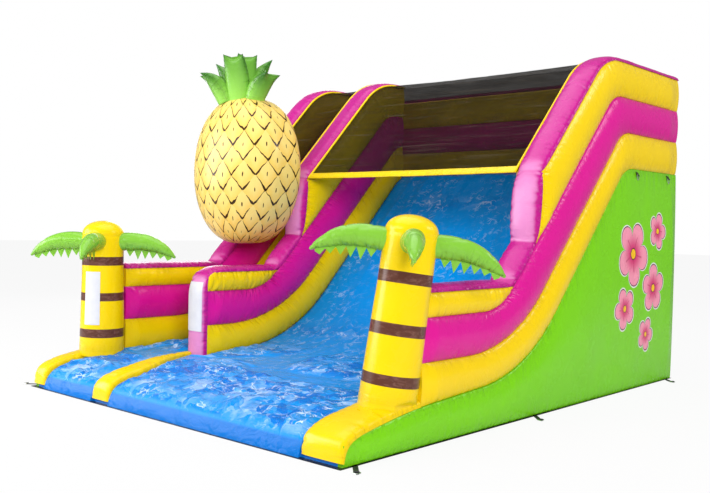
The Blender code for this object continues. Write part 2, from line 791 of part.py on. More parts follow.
def column_mesh(height):
    """A turned column with a domed top; its foot runs on below for the cut to the bed."""
    dome_z = height - PALM_DOME
    profile = [(0.0, height)]
    for angle in np.linspace(math.pi / 2, 0, 6)[1:]:
        profile.append((PALM_TOP_R * math.cos(angle), dome_z + PALM_DOME * math.sin(angle)))
    profile += [(PALM_TOP_R, height - PALM_STRAIGHT), (PALM_BASE_R, 0.0)]
    profile += [(PALM_BASE_R, -PALM_SINK), (0.0, -PALM_SINK)]
    mesh = bpy.data.meshes.new("column_profile")
    verts = [(x, 0, z) for x, z in profile]
    mesh.from_pydata(verts, [(i, i + 1) for i in range(len(verts) - 1)], [])
    turned = add_object("column_profile", mesh, None)
    screw = turned.modifiers.new("turn", "SCREW")
    screw.steps = PALM_SIDES
    screw.render_steps = PALM_SIDES
    screw.use_merge_vertices = True
    screw.merge_threshold = 0.0001
    return baked(turned)


def leaf_line(count):
    """The leaf's spine from the column's axis: out, up a little, then over."""
    start = PALM_TOP_R * 0.80
    shares = np.linspace(0, 1, count)
    out = start + (LEAF_REACH - start) * shares
    rise = LEAF_RISE * np.sin(np.pi * np.minimum(shares * 1.35, 1)) - LEAF_DROP * shares ** 2.2
    return shares, out, rise


def leaf_radius(shares):
    return LEAF_ROOT_R + (LEAF_TIP_R - LEAF_ROOT_R) * shares ** 2.4


def leaf_mesh():
    """A tapering stuffed tube with a row of flat teeth below it."""
    shares, out, up = leaf_line(9)
    radii = leaf_radius(shares)
    angles = np.linspace(0, 2 * math.pi, 11)[:-1]
    rings = []
    for i in range(len(out)):
        before = max(i - 1, 0)
        after = min(i + 1, len(out) - 1)
        along = np.array([out[after] - out[before], up[after] - up[before]])
        along /= np.linalg.norm(along)
        ring = []
        for angle in angles:
            side = radii[i] * math.cos(angle)
            lift = radii[i] * 0.92 * math.sin(angle)
            ring.append((out[i] - along[1] * lift, side, up[i] + along[0] * lift))
        rings.append(ring)
    tube = add_cutter("leaf_tube", loft(rings))

    edge = [(out[1] + 0.03, up[1])]
    places = np.linspace(0.16, 1.0, FRINGE_TEETH + 1)
    x_at = [float(np.interp(s, shares, out)) for s in places]
    z_at = [float(np.interp(s, shares, up - radii * 0.7)) for s in places]
    for i in range(FRINGE_TEETH):
        edge.append((x_at[i], z_at[i]))
        tip = FRINGE_DEPTH * (1 - 0.45 * i / FRINGE_TEETH)
        edge.append((x_at[i] + 0.45 * (x_at[i + 1] - x_at[i]), z_at[i] - tip))
    edge.append((x_at[-1] - 0.012, z_at[-1] + 0.012))
    spine = [(x, z) for x, z in zip(out[::-1], up[::-1]) if edge[0][0] < x < x_at[-1] - 0.02]
    fringe = add_object("fringe", outline_curve([edge + spine], FRINGE_THICKNESS), None)
    fringe.rotation_euler = (math.pi / 2, 0, 0)
    teeth = add_cutter("leaf_fringe", baked(fringe))

    socket = add_cutter("leaf_socket", column_socket())
    leaf = add_object("leaf_blank", tube.data.copy(), None)
    boolean(leaf, teeth, "UNION")
    boolean(leaf, socket, "DIFFERENCE")
    mesh = baked(leaf)
    smooth(mesh)
    return mesh


def column_socket():
    """A prism whose flats just clear the column, over the height where leaves join."""
    rings = []
    radius = (PALM_TOP_R + GAP) / math.cos(math.pi / PALM_SIDES / 2)
    angles = np.linspace(0, 2 * math.pi, 2 * PALM_SIDES + 1)[:-1]
    for z in (-0.25, 0.25):
        rings.append([(radius * math.cos(a), radius * math.sin(a), z) for a in angles])
    return loft(rings)


def palm(side, place, leaf, cutters):
    """One palm: its column cut to the bed and the wall's end, and its leaves."""
    height = place["height"]
    out = HALF_WIDTH - place["inset"]
    foot_z = float(point_at(np.vstack([shoulder(), [landing_at(0.0)]]), place["y"])[1])
    stand = bpy.data.objects.new(f"{side}_palm_stand", None)
    PARTS.objects.link(stand)
    stand.location = (out if side == "right" else -out, place["y"], foot_z + NOSE_CROWN)
    axis = Vector((place["lean_x"], place["lean_y"], height)).normalized()
    stand.rotation_mode = "QUATERNION"
    stand.rotation_quaternion = Vector((0, 0, 1)).rotation_difference(axis)
    column = column_mesh(height)
    smooth(column)
    trunk = add_object(f"{side}_palm_column", column, YELLOW)
    trunk.parent = stand
    for cutter in cutters:
        boolean(trunk, cutter, "DIFFERENCE")
    for number, azimuth in enumerate(LEAF_AZIMUTHS, 1):
        piece = add_object(f"{side}_palm_leaf_{number}", leaf.copy(), LEAF_GREEN)
        piece.parent = stand
        piece.location = (0, 0, height - LEAF_BELOW_TOP)
        piece.rotation_euler = (0, 0, math.radians(azimuth))


def palms():
    leaf = leaf_mesh()
    above_wall = LOW_TOP_Z + CUSHION_CROWN + 2 * GAP
    notch = [
        (OUTER_FRONT_Y - GAP, 0.0),
        (OUTER_FRONT_Y - GAP, above_wall),
        (OUTER_FRONT_Y + 1.0, above_wall),
        (OUTER_FRONT_Y + 1.0, 0.0),
    ]
    wide = 2 * HALF_WIDTH
    wall_end = add_cutter("wall_end_cut", side_profile(notch, -wide, wide))
    bed_top = offset(np.vstack([shoulder(), [landing_at(FLOOR_FOOT[0][0])]]), GAP)
    bed = np.vstack([[[bed_top[0, 0], -0.3]], bed_top, [[bed_top[-1, 0], -0.3]]])
    bed_cut = add_cutter("palm_bed_cut", side_profile(bed, -wide, wide))
    covers_of = {"right": slide_cover_edges(), "left": climb_cover_edges()}
    for side, place in (("right", RIGHT_PALM), ("left", LEFT_PALM)):
        x_from, x_to, rear_y = NOSES[side]
        below = nose(x_from, x_to, rear_y + CUT_CLEARANCE, CUT_CLEARANCE)
        nose_cut = add_cutter(f"{side}_nose_cut", below)
        cover = cover_mesh(*covers_of[side], CLIMB_COVER_END, CUT_CLEARANCE)
        cover_cut = add_cutter(f"{side}_cover_cut", cover)
        palm(side, place, leaf, (bed_cut, nose_cut, cover_cut, wall_end))


# Fruit figure

def fruit():
    """A stuffed fruit with a flattened back, nested against the climbing lane's two columns."""
    centre_x = (LEFT_X + MIDDLE_X) / 2
    height = FRUIT_TOP_Z - FRUIT_BOTTOM_Z
    turns = np.linspace(0, 2 * math.pi, 23)[:-1]
    cosine = np.cos(turns)
    sine = np.sin(turns)
    square = 2 / FRUIT_BACK_POWER
    behind = sine > 0
    rings = []
    for share in np.linspace(0, 1, 13):
        angle = math.pi * (0.04 + 0.92 * share)
        z = FRUIT_BOTTOM_Z + height * (1 - math.cos(angle)) / 2
        size = math.sin(angle) ** 0.85
        across = np.where(behind, np.sign(cosine) * np.abs(cosine) ** square, cosine)
        back = FRUIT_REAR * size ** 0.45 * np.abs(sine) ** square
        depth = np.where(behind, back, FRUIT_FRONT * size * sine)
        x = centre_x + FRUIT_WIDTH / 2 * size * across
        rings.append(np.stack([x, FRUIT_Y + depth, np.full(len(turns), z)], 1))
    body = add_object("fruit_body", loft(rings), FRUIT)
    _, high = top_line(OUTER_FRONT_Y, MIDDLE_REAR_Y, capped=False)
    for name, centre in (("left", LEFT_X), ("middle", MIDDLE_X)):
        post = strip(high[:5], centre, CUSHION_HALF, CUSHION_CROWN, CUT_CLEARANCE)
        boolean(body, add_cutter(f"{name}_post_cut", post), "DIFFERENCE")
    crown(np.array([centre_x, FRUIT_Y, rings[-1][0][2] + GAP]))


def crown(root):
    """Stuffed leaves fused at one root on top of the fruit: one upright, the rest around it."""
    turns = np.linspace(0, 2 * math.pi, 9)[:-1]
    shares = np.linspace(0, 1, 6)
    pieces = []
    for number in range(CROWN_LEAVES):
        azimuth = 2 * math.pi * number / (CROWN_LEAVES - 1) + 0.22 * math.sin(2.4 * number + 0.5)
        outward = np.array([math.cos(azimuth), math.sin(azimuth), 0.0])
        aside = np.array([-math.sin(azimuth), math.cos(azimuth), 0.0])
        lean = CROWN_LEANS[number % 2]
        length = CROWN_LENGTHS[number % 2] * (1 + 0.05 * math.sin(1.7 * number))
        spread = CROWN_ROOT_SPREAD
        if number == CROWN_LEAVES - 1:
            lean = spread = 0.0
        spot = root + outward * spread - (0, 0, CROWN_LEAF_R * (0.5 + 0.03 * number))
        rings = []
        for share in shares:
            bend = lean * (CROWN_ROOT_BEND + (1 - CROWN_ROOT_BEND) * share)
            upright = np.array([0, 0, 1.0])
            along = outward * math.sin(bend) + upright * math.cos(bend)
            normal = outward * math.cos(bend) - upright * math.sin(bend)
            width = CROWN_LEAF_R * (1.0 + 0.25 * math.sin(math.pi * share) - 0.8 * share ** 3)
            ring = spot + width * (
                np.cos(turns)[:, None] * aside + 0.72 * np.sin(turns)[:, None] * normal
            )
            rings.append(ring)
            spot = spot + along * length / (len(shares) - 1)
        pieces.append(add_cutter(f"crown_leaf_{number}", loft(rings)))
    top = add_object("fruit_crown", pieces[-1].data.copy(), LEAF_GREEN)
    for piece in pieces[:-1]:
        boolean(top, piece, "UNION")
    below = [(root[1] - 0.5, root[2] - 0.5), (root[1] - 0.5, root[2])]
    below += [(root[1] + 0.5, root[2]), (root[1] + 0.5, root[2] - 0.5)]
    floor = add_cutter("crown_floor", side_profile(below, root[0] - 0.5, root[0] + 0.5))
    boolean(top, floor, "DIFFERENCE")


# Anchors

LOOP_INNER = RING_WIRE_R + LOOP_CLEARANCE
LOOP_OUTER = LOOP_INNER + LOOP_WALL
LOOP_Z = LOOP_OUTER + 0.0005


def circle(centre, radius, count):
    angles = np.linspace(0, 2 * math.pi, count + 1)[:-1]
    return [(centre[0] + radius * math.cos(a), centre[1] + radius * math.sin(a)) for a in angles]


def tab_outline(root, length, thickness, sink):
    """A strap along +X from its root, ending in a loop whose centre is the ring's axis."""
    angles = np.linspace(-2.2, 2.2, 11)
    centre = (root + length, 0.0)
    loop = [
        (centre[0] + LOOP_OUTER * math.cos(a), centre[1] + LOOP_OUTER * math.sin(a))
        for a in angles
    ]
    low = -LOOP_OUTER - sink
    neck = (centre[0] - 2.5 * LOOP_OUTER, -LOOP_OUTER + thickness)
    strap_side = [(root, low), *loop, neck, (root, low + thickness)]
    return [strap_side, circle(centre, LOOP_INNER, 10)]


def strap(name, thickness, root, length, sink=0.0):
    outlines = tab_outline(root, length, thickness, sink)
    made = add_object(name, outline_curve(outlines, TAB_WIDTH), None)
    made.rotation_euler = (math.pi / 2, 0, 0)
    return baked(made)


def upper_tab(side, y):
    """A short webbing tab sewn to the top of a side panel, its loop hanging out and down."""
    mesh = strap("upper_tab", LOOP_WALL, 0.0, UPPER_TAB_DROP, UPPER_TAB_SINK)
    tab = add_cutter(f"upper_tab_{'right' if side > 0 else 'left'}_{y:.1f}", mesh)
    tab.matrix_world = upper_frame(side, y)
    return tab


def upper_frame(side, y):
    """Place and turn of an upper ring: its own +X hangs down the panel."""
    x = HALF_WIDTH + UPPER_RING_OFF
    z = FLOOR_SEAM["high"] - UPPER_TAB_Z
    turn = Matrix.Rotation(math.pi / 2, 4, "Y")
    face = Matrix.Identity(4) if side > 0 else Matrix.Rotation(math.pi, 4, "Z")
    return Matrix.Translation((side * x, y, z)) @ face @ turn


def ring_mesh():
    """A triangular steel ring: a straight bar on its axis and two legs to a round nose."""
    half = RING_BAR / 2
    outline = [(0.0, -half * 0.8), (0.0, 0.0), (0.0, half * 0.8), (0.005, half)]
    outline += [(0.012, half), (RING_REACH * 0.80, 0.011), (RING_REACH * 0.96, 0.006)]
    outline += [(RING_REACH, 0.0)]
    outline += [(x, -y) for x, y in outline[-2:2:-1]]
    curve = bpy.data.curves.new("ring", "CURVE")
    curve.dimensions = "3D"
    curve.bevel_depth = RING_WIRE_R
    curve.bevel_resolution = 1
    spline = curve.splines.new("POLY")
    spline.points.add(len(outline) - 1)
    for point, (x, y) in zip(spline.points, outline):
        point.co = (x, y, 0, 1)
    spline.use_cyclic_u = True
    return baked(add_object("ring", curve, None))


def anchors():
    """The ground sheet with its webbing tabs, and the steel rings that swing in them."""
    sheet = bmesh.new()
    bmesh.ops.create_cube(sheet, size=1.0)
    width = 2 * (HALF_WIDTH + 0.02)
    bmesh.ops.scale(sheet, vec=(width, BODY_LENGTH - 0.02, SKIN), verts=sheet.verts)
    bmesh.ops.translate(sheet, vec=(0, 0, SKIN / 2), verts=sheet.verts)
    mesh = bpy.data.meshes.new("ground_sheet")
    sheet.to_mesh(mesh)
    sheet.free()
    ground = add_object("ground_sheet", mesh, BLACK, 0.6)
    ring = ring_mesh()
    smooth(ring)
    tab = strap("base_tab", SKIN, -TAB_WIDTH, TAB_WIDTH + TAB_REACH)
    for name, side in (("right", 1), ("left", -1)):
        turn = Matrix.Rotation(-TAB_ANGLE if side > 0 else math.pi + TAB_ANGLE, 4, "Z")
        for number, y in enumerate(BASE_ANCHORS_Y, 1):
            root = Matrix.Translation((side * (width / 2), y, LOOP_OUTER)) @ turn
            strap_piece = add_cutter(f"{name}_base_tab_{number}", tab.copy())
            strap_piece.matrix_world = root
            boolean(ground, strap_piece, "UNION")
            place = root @ Matrix.Translation((TAB_REACH, 0, 0))
            add_ring(f"{name}_base_ring_{number}", ring, place)
        for number, y in enumerate(UPPER_ANCHORS_Y, 1):
            place = upper_frame(side, y) @ Matrix.Translation((UPPER_TAB_DROP, 0, 0))
            add_ring(f"{name}_upper_ring_{number}", ring, place)


def add_ring(name, mesh, place):
    made = add_object(name, mesh.copy(), STEEL, 0.25, 1.0)
    made.matrix_world = place


def sleeve():
    """The fabric sleeve at the back that a blower's nozzle goes into."""
    rings = []
    for y, radius in ((0.0, SLEEVE_R), (SLEEVE_LENGTH, SLEEVE_R * 0.94)):
        rings.append([
            (radius * math.cos(a), y, radius * math.sin(a))
            for a in np.linspace(0, 2 * math.pi, 21)[:-1]
        ])
    mesh = loft(rings)
    mesh.transform(Matrix.Translation((SLEEVE_X, BACK_Y - 0.02, SLEEVE_Z)))
    bore = []
    for y in (-0.1, SLEEVE_LENGTH + 0.1):
        radius = SLEEVE_R * 0.94 - SLEEVE_WALL
        bore.append([
            (SLEEVE_X + radius * math.cos(a), BACK_Y + y, SLEEVE_Z + radius * math.sin(a))
            for a in np.linspace(0, 2 * math.pi, 21)[:-1]
        ])
    made = add_object("inflation_sleeve", mesh, YELLOW, 0.4)
    boolean(made, add_cutter("sleeve_bore", loft(bore)), "DIFFERENCE")
    panel = bpy.data.objects["back_panel"].data.copy()
    shell = bmesh.new()
    shell.from_mesh(panel)
    bmesh.ops.translate(shell, vec=(0, GAP, 0), verts=shell.verts)
    shell.to_mesh(panel)
    shell.free()
    boolean(made, add_cutter("sleeve_panel_cut", panel), "DIFFERENCE")


def build():
    core()
    wall("right", RIGHT_X, OUTER_FRONT_Y, BACK_Y)
    wall("left", LEFT_X, OUTER_FRONT_Y, BACK_Y)
    wall("middle", MIDDLE_X, MIDDLE_FRONT_Y, MIDDLE_REAR_Y, outer=False)
    back_wall()
    side_panels()
    back_panel()
    noses()
    covers()
    climb_steps()
    canopy()
    palms()
    fruit()
    anchors()
    sleeve()


clear_scene()
PARTS = make_collection("inflatable_slide")
CUTTERS = make_collection("cutters")
build()
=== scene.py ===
# %% [markdown]
# # An inflatable slide for the pool, surface by surface
#
# The real slide is sewn from PVC sheet and kept full by a blower. Nothing in it is
# rigid: every wall is a stack of air tubes, each one held between two seams, and the
# whole look comes from three things. The tubes swell between their seams, the seams
# pull small puckers into the skin, and the glossy skin shows the sky and the floor.
#
# This file draws each of those pieces over the plain CAD solids. Each shape is a
# formula worked out with numpy on a whole grid of points at once. The alternative,
# modelling by hand or inflating every tube with a cloth simulation, would take minutes
# per tube at this size and would not keep the seams where the CAD model has them.

import math

import bpy
import numpy as np
from mathutils import Matrix


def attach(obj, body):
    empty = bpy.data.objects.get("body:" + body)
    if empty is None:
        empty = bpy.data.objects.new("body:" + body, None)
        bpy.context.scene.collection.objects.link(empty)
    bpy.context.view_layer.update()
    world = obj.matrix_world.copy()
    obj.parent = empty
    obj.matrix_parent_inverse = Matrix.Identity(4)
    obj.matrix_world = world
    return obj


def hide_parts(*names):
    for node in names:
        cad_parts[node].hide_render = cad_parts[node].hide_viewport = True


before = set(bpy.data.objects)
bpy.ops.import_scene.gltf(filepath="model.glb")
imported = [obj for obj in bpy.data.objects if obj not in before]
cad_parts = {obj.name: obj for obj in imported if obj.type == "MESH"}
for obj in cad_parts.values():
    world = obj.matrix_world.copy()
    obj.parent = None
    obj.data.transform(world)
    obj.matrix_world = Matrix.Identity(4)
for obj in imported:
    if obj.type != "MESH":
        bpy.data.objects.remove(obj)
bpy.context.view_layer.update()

# %% [markdown]
# ## The camera
#
# The photo gives the camera: the parallel seams and the corners of the base fix where
# it stood, how it was turned and how long its lens was. A matrix built from the three
# camera directions says that in one go, and keeps the slight roll that an aimed
# "look at" constraint would lose.

# %% Camera from the fitted position, turn and focal length
PHOTO_WIDTH_PX = 710
FOCAL_PX = 885.719
SENSOR_MM = 36.0
CAMERA_PLACE = (6.125, -7.107, 1.65)
AZIMUTH, PITCH, ROLL = np.radians([42.071, -1.321, 1.169])

ahead = np.array([
    -math.sin(AZIMUTH) * math.cos(PITCH),
    math.cos(AZIMUTH) * math.cos(PITCH),
    math.sin(PITCH),
])
level = np.array([math.cos(AZIMUTH), math.sin(AZIMUTH), 0.0])
upright = np.cross(level, ahead)
right_of_frame = level * math.cos(ROLL) + upright * math.sin(ROLL)
top_of_frame = upright * math.cos(ROLL) - level * math.sin(ROLL)

camera_data = bpy.data.cameras.new("camera")
camera_data.sensor_width = SENSOR_MM
camera_data.sensor_fit = "HORIZONTAL"
camera_data.lens = FOCAL_PX / PHOTO_WIDTH_PX * SENSOR_MM
camera_data.clip_end = 200.0
camera = bpy.data.objects.new("camera", camera_data)
bpy.context.scene.collection.objects.link(camera)
turned = np.eye(4)
turned[:3, 0], turned[:3, 1], turned[:3, 2] = right_of_frame, top_of_frame, -ahead
turned[:3, 3] = CAMERA_PLACE
camera.matrix_world = Matrix(turned.tolist())
bpy.context.scene.camera = camera
print(f"lens {camera_data.lens:.1f} mm")

# %% [markdown]
# ## The slide's own lines
#
# Every seam is the same kind of line in the side view: level at the landing, a round
# foot, a straight slope of 46 degrees, a round head, level at the top. The sizes are
# those of the CAD model, repeated here in metres because this file cannot read that
# one. Each function returns many more points than the CAD solid has, so that the
# drawn bends are smooth.

# %% Sizes of the seams, walls and pads
GAP = 0.0003
SLOPE = math.radians(46)
K = math.tan(SLOPE)
BODY_LENGTH, SLIDE_WIDTH, CLIMB_WIDTH, WALL_SEAM = 5.52, 2.68, 0.70, 0.26
FRONT_Y, BACK_Y = -BODY_LENGTH / 2, BODY_LENGTH / 2
HALF_WIDTH = (3 * WALL_SEAM + SLIDE_WIDTH + CLIMB_WIDTH) / 2
RIGHT_X = HALF_WIDTH - WALL_SEAM / 2
LEFT_X = -RIGHT_X
MIDDLE_X = LEFT_X + WALL_SEAM + CLIMB_WIDTH
PANEL_THICKNESS = 0.05
CORE_HALF = HALF_WIDTH - PANEL_THICKNESS
BACK_WALL_Y = BACK_Y - WALL_SEAM / 2 - GAP
NOSE_CROWN = 0.06
BED_FRONT_Y = FRONT_Y + NOSE_CROWN
FRONT_LIP_Z, SHOULDER_RUN, SHOULDER_Z, SHOULDER_POWER = 0.15, 0.75, 0.298, 0.72
FLOOR_SEAM = {"low": 0.40, "high": 2.30, "foot_y": -0.36, "foot_r": 1.8, "head_r": 0.45}
LOWER_SEAM = {"low": 0.63, "high": 2.66, "foot_y": -0.571, "foot_r": 1.6, "head_r": 0.40}
LOW_TOP_Z, TOP_Z, NOTCH_Z, COLUMN_TOP_Y = 1.16, 3.36, 1.534, -0.171
MIDDLE_SEAM = {
    "low": 0.97, "high": 3.01, "foot_y": -0.78, "head_r": 0.40,
    "foot_r": (LOW_TOP_Z - 0.97) / (1 - math.cos(SLOPE)),
}
RIDGE_Y, RIDGE_RADIUS, LOW_CORNER_RADIUS = 0.986, 0.70, 0.12
COLUMN_TOP_Z = TOP_Z - (RIDGE_Y - COLUMN_TOP_Y) * K
PAD_HALF, PAD_CROWN = 0.14, 0.055
OUTER_FRONT_Y, MIDDLE_FRONT_Y, MIDDLE_REAR_Y = -1.86, -1.55, 1.47
print(f"base {2 * HALF_WIDTH:.2f} x {BODY_LENGTH:.2f} m, columns to {COLUMN_TOP_Z:.2f} m")


# %% Rounds, straights and the landing in the side view
def arc(corner, start, end, radius, count=25):
    """The round that replaces a corner between two directions.

    It is a circle that touches both lines, radius * tan(turn / 2) from the corner.
    """
    turn = end - start
    side = math.copysign(1, turn)
    reach = radius * math.tan(abs(turn) / 2)
    first = np.array(corner) - reach * np.array([math.cos(start), math.sin(start)])
    centre = first + side * radius * np.array([-math.sin(start), math.cos(start)])
    angles = np.linspace(start, end, count)
    return centre + side * radius * np.stack([np.sin(angles), -np.cos(angles)], 1)


LANDING_START = np.array([BED_FRONT_Y + SHOULDER_RUN, SHOULDER_Z])
LANDING_PITCH = math.atan2(
    FLOOR_SEAM["low"] - SHOULDER_Z, FLOOR_SEAM["foot_y"] - LANDING_START[0]
)


def landing_at(y):
    """The landing: a straight line that rises slightly to the foot of the slope."""
    rise = (y - LANDING_START[0]) * math.tan(LANDING_PITCH)
    return np.array([y, SHOULDER_Z + rise])


def shoulder(count=40):
    """From the front lip up to the landing: rise * share ** power, steep only at first."""
    angles = np.linspace(0, math.pi / 2, count)
    y = BED_FRONT_Y + SHOULDER_RUN * (1 - np.cos(angles))
    z = FRONT_LIP_Z + (SHOULDER_Z - FRONT_LIP_Z) * (1 - np.cos(angles)) ** SHOULDER_POWER
    return np.stack([y, z], 1)


def slope_y(seam, z):
    """Where the straight part of a seam passes a height: foot_y + rise / tan(slope)."""
    return seam["foot_y"] + (z - seam["low"]) / K


def foot(seam, pitch=0.0):
    """The round at the foot of the slope."""
    return arc((seam["foot_y"], seam["low"]), pitch, SLOPE, seam["foot_r"])


def head(seam):
    """The round at the head of the slope."""
    return arc((slope_y(seam, seam["high"]), seam["high"]), SLOPE, 0.0, seam["head_r"])


FLOOR_FOOT = foot(FLOOR_SEAM, LANDING_PITCH)
FLOOR_HEAD = head(FLOOR_SEAM)
print(f"the slope starts at y {FLOOR_FOOT[0][0]:.2f} and ends at y {FLOOR_HEAD[-1][0]:.2f}")


# %% Working with lines of points
def running(steps):
    """Running totals along the last axis, starting from 0."""
    return np.concatenate([np.zeros((*steps.shape[:-1], 1)), np.cumsum(steps, axis=-1)], -1)


def lengths(line):
    """Distance run along a line of points, from 0 at its start."""
    return running(np.linalg.norm(np.diff(line, axis=0), axis=1))


def evenly(line, count):
    """The same line with count + 1 points at equal distances along it."""
    line = np.asarray(line, float)
    run = lengths(line)
    places = np.linspace(0, run[-1], count + 1)
    return np.stack([np.interp(places, run, axis) for axis in line.T], 1)


def spaced(line, step):
    """The same line with points about a step apart."""
    return evenly(line, max(2, math.ceil(lengths(line)[-1] / step)))


def softened(line, reach):
    """A line whose corners are eased: each point becomes the mean of its neighbours.

    The weights are a bell curve as wide as reach, and the two ends stay in place.
    """
    step = lengths(line)[-1] / (len(line) - 1)
    half = max(1, int(2.5 * reach / step))
    bell = np.exp(-0.5 * (np.arange(-half, half + 1) * step / reach) ** 2)
    bell /= bell.sum()
    before = 2 * line[0] - line[half:0:-1]
    after = 2 * line[-1] - line[-2:-half - 2:-1]
    padded_line = np.vstack([before, line, after])
    return np.stack([np.convolve(axis, bell, "valid") for axis in padded_line.T], 1)


print(f"length of the slope's foot {lengths(FLOOR_FOOT)[-1]:.2f} m")


# %% Normals and matching stations
def left_normals(line):
    """Unit normals to the left of a line, from the direction between its neighbours."""
    along = np.gradient(line, axis=0)
    along /= np.linalg.norm(along, axis=1)[:, None]
    return np.stack([-along[:, 1], along[:, 0]], 1)


def paired(low_pieces, high_pieces, step):
    """Two seams with matching stations: each pair of pieces gets the same even count."""
    low, high = [], []
    for a, b in zip(low_pieces, high_pieces):
        count = max(2, math.ceil(max(lengths(a)[-1], lengths(b)[-1]) / step))
        low.append(evenly(a, count)[:-1])
        high.append(evenly(b, count)[:-1])
    return np.vstack([*low, low_pieces[-1][-1:]]), np.vstack([*high, high_pieces[-1][-1:]])


def distinct(line):
    """The line without points that repeat the one before."""
    steps = np.linalg.norm(np.diff(line, axis=0), axis=1)
    return line[np.concatenate([[True], steps > 1e-6])]


REARWARD = np.array([[0.0, 0.0], [1.0, 0.0]])
print(f"a line that runs to the rear has its normal's Z at {left_normals(REARWARD)[0][1]:.0f}")


# %% The seams in matching pieces, and the walls' free edge
def seam_pieces(seam, start_y, end_y, on_landing=False):
    """A seam as four pieces: the level run, the foot, the slope, then head and top."""
    rising = foot(seam, LANDING_PITCH if on_landing else 0.0)
    falling = head(seam)
    first = landing_at(start_y) if on_landing else np.array([start_y, seam["low"]])
    rest = np.vstack([falling, [[BACK_Y + 1.0, seam["high"]]]])
    last = np.array([end_y, np.interp(end_y, rest[:, 0], rest[:, 1])])
    top = np.vstack([rest[rest[:, 0] < end_y - 1e-6], last])
    return [
        np.vstack([first, rising[0]]), rising, np.vstack([rising[-1], falling[0]]), top
    ]


# The middle seam reaches the low top at PINCH, and the upper tube starts at NOTCH
PINCH = foot(MIDDLE_SEAM)[-1]
NOTCH = np.array([slope_y(MIDDLE_SEAM, NOTCH_Z), NOTCH_Z])
COLUMN_TOP = np.array([COLUMN_TOP_Y, COLUMN_TOP_Z])
RIDGE = arc((RIDGE_Y, TOP_Z), SLOPE, 0.0, RIDGE_RADIUS)


def upper_edge(end_y):
    """The free edge above the notch: up the column, up the slope, over the ridge."""
    return [
        np.vstack([NOTCH, COLUMN_TOP]), np.vstack([COLUMN_TOP, RIDGE[0]]), RIDGE,
        np.vstack([RIDGE[-1], [end_y, TOP_Z]]),
    ]


def low_edge(front_y, capped):
    """The free edge below the notch, along the low top.

    The middle wall's edge starts on the bed and rounds up its front end first.
    """
    if not capped:
        return np.array([[front_y, LOW_TOP_Z], PINCH])
    corner = arc((front_y, LOW_TOP_Z), math.pi / 2, 0.0, LOW_CORNER_RADIUS)
    return np.vstack([landing_at(front_y), corner, PINCH])


print(f"the low top ends at y {PINCH[0]:.2f}, the column's notch is at y {NOTCH[0]:.2f}")


# %% [markdown]
# ## Puckers, and how grids of points become meshes
#
# A seam in an inflated skin is shorter than the skin beside it, so the skin gathers
# into short creases that run away from the seam and die out. Cloth simulation makes
# such creases, but slowly and never the same size twice. Here each crease is a small
# dent with its own place, slant, width, length and depth, all drawn from a repeatable
# hash of its number, and the dents are summed over whole arrays.

# %% Repeatable noise
def hashed(*cells, seed=0):
    """A number from 0 to 1 for each whole-number cell: the fraction of a large sine."""
    mixed = float(seed) * 17.13
    for cell, weight in zip(cells, (12.9898, 78.233, 37.719)):
        mixed = mixed + np.asarray(cell, float) * weight
    value = np.sin(mixed) * 43758.5453
    return value - np.floor(value)


def eased(share):
    """A share from 0 to 1 that starts and ends softly: 3 share ** 2 - 2 share ** 3."""
    return share * share * (3 - 2 * share)


def ramped(share):
    """The same for any value: 0 below 0, 1 above 1, and eased between."""
    return eased(np.clip(share, 0, 1))


def field(x, y, seed=0):
    """Smooth noise from -1 to 1 over a plane: four hashed corners, eased between."""
    i, j = np.floor(x), np.floor(y)
    u, v = eased(x - i), eased(y - j)
    low = hashed(i, j, seed=seed) * (1 - u) + hashed(i + 1, j, seed=seed) * u
    high = hashed(i, j + 1, seed=seed) * (1 - u) + hashed(i + 1, j + 1, seed=seed) * u
    return 2 * (low * (1 - v) + high * v) - 1


def ridges(x, y, seed=0, sharp=3.0):
    """Thin raised lines where smooth noise crosses zero: (1 - |noise|) ** sharp."""
    return (1 - np.abs(field(x, y, seed))) ** sharp


def puckers(along, away, seed, spacing=0.055, depth=0.006, reach=0.055):
    """Depth of the creases that run in from a seam.

    along is the distance along the seam and away the distance from it. Each crease is
    depth * exp(-((along - place) / width) ** 2) * exp(-(away / length) ** 2), and it
    widens as it leaves the seam.
    """
    total = np.zeros(np.broadcast(along, away).shape)
    cell = np.floor(along / spacing)
    for neighbour in (-1, 0, 1):
        number = cell + neighbour
        place = (number + 0.15 + 0.7 * hashed(number, seed=seed)) * spacing
        slant = (hashed(number, seed=seed + 0.31) - 0.5) * 0.9
        length = reach * (0.35 + 1.1 * hashed(number, seed=seed + 0.53) ** 2)
        width = spacing * (0.13 + 0.10 * hashed(number, seed=seed + 0.71)) + 0.16 * away
        size = depth * (0.25 + 0.9 * hashed(number, seed=seed + 0.97))
        dent = np.exp(-(((along - place - slant * away) / width) ** 2))
        total += size * dent * np.exp(-((away / length) ** 2))
    return total


print(f"noise at one place: {float(field(0.3, 0.7, 1)):.3f}")


# %% Grids of points
def stacked(*axes):
    """Arrays that broadcast together, as the axes of one grid of points."""
    return np.stack(np.broadcast_arrays(*axes), -1)


def with_x(x, place):
    """A grid in space from its X and its (Y, Z)."""
    return stacked(x, place[..., 0], place[..., 1])


def powered(value, power):
    """A power that keeps the value's sign, for the sections of super-ellipses."""
    return np.sign(value) * np.abs(value) ** power


def off_path(path, lift):
    """Points above a path in the side view: path + normal * lift."""
    return path[:, None] + left_normals(path)[:, None] * lift[..., None]


def full_turn(count):
    """Angles once round, without the last one that repeats the first."""
    return np.linspace(0, 2 * math.pi, count + 1)[:-1]


def turned_about_z(angle):
    """The matrix of a turn about the upright axis."""
    c, s = math.cos(angle), math.sin(angle)
    return np.array([[c, -s, 0], [s, c, 0], [0, 0, 1]])


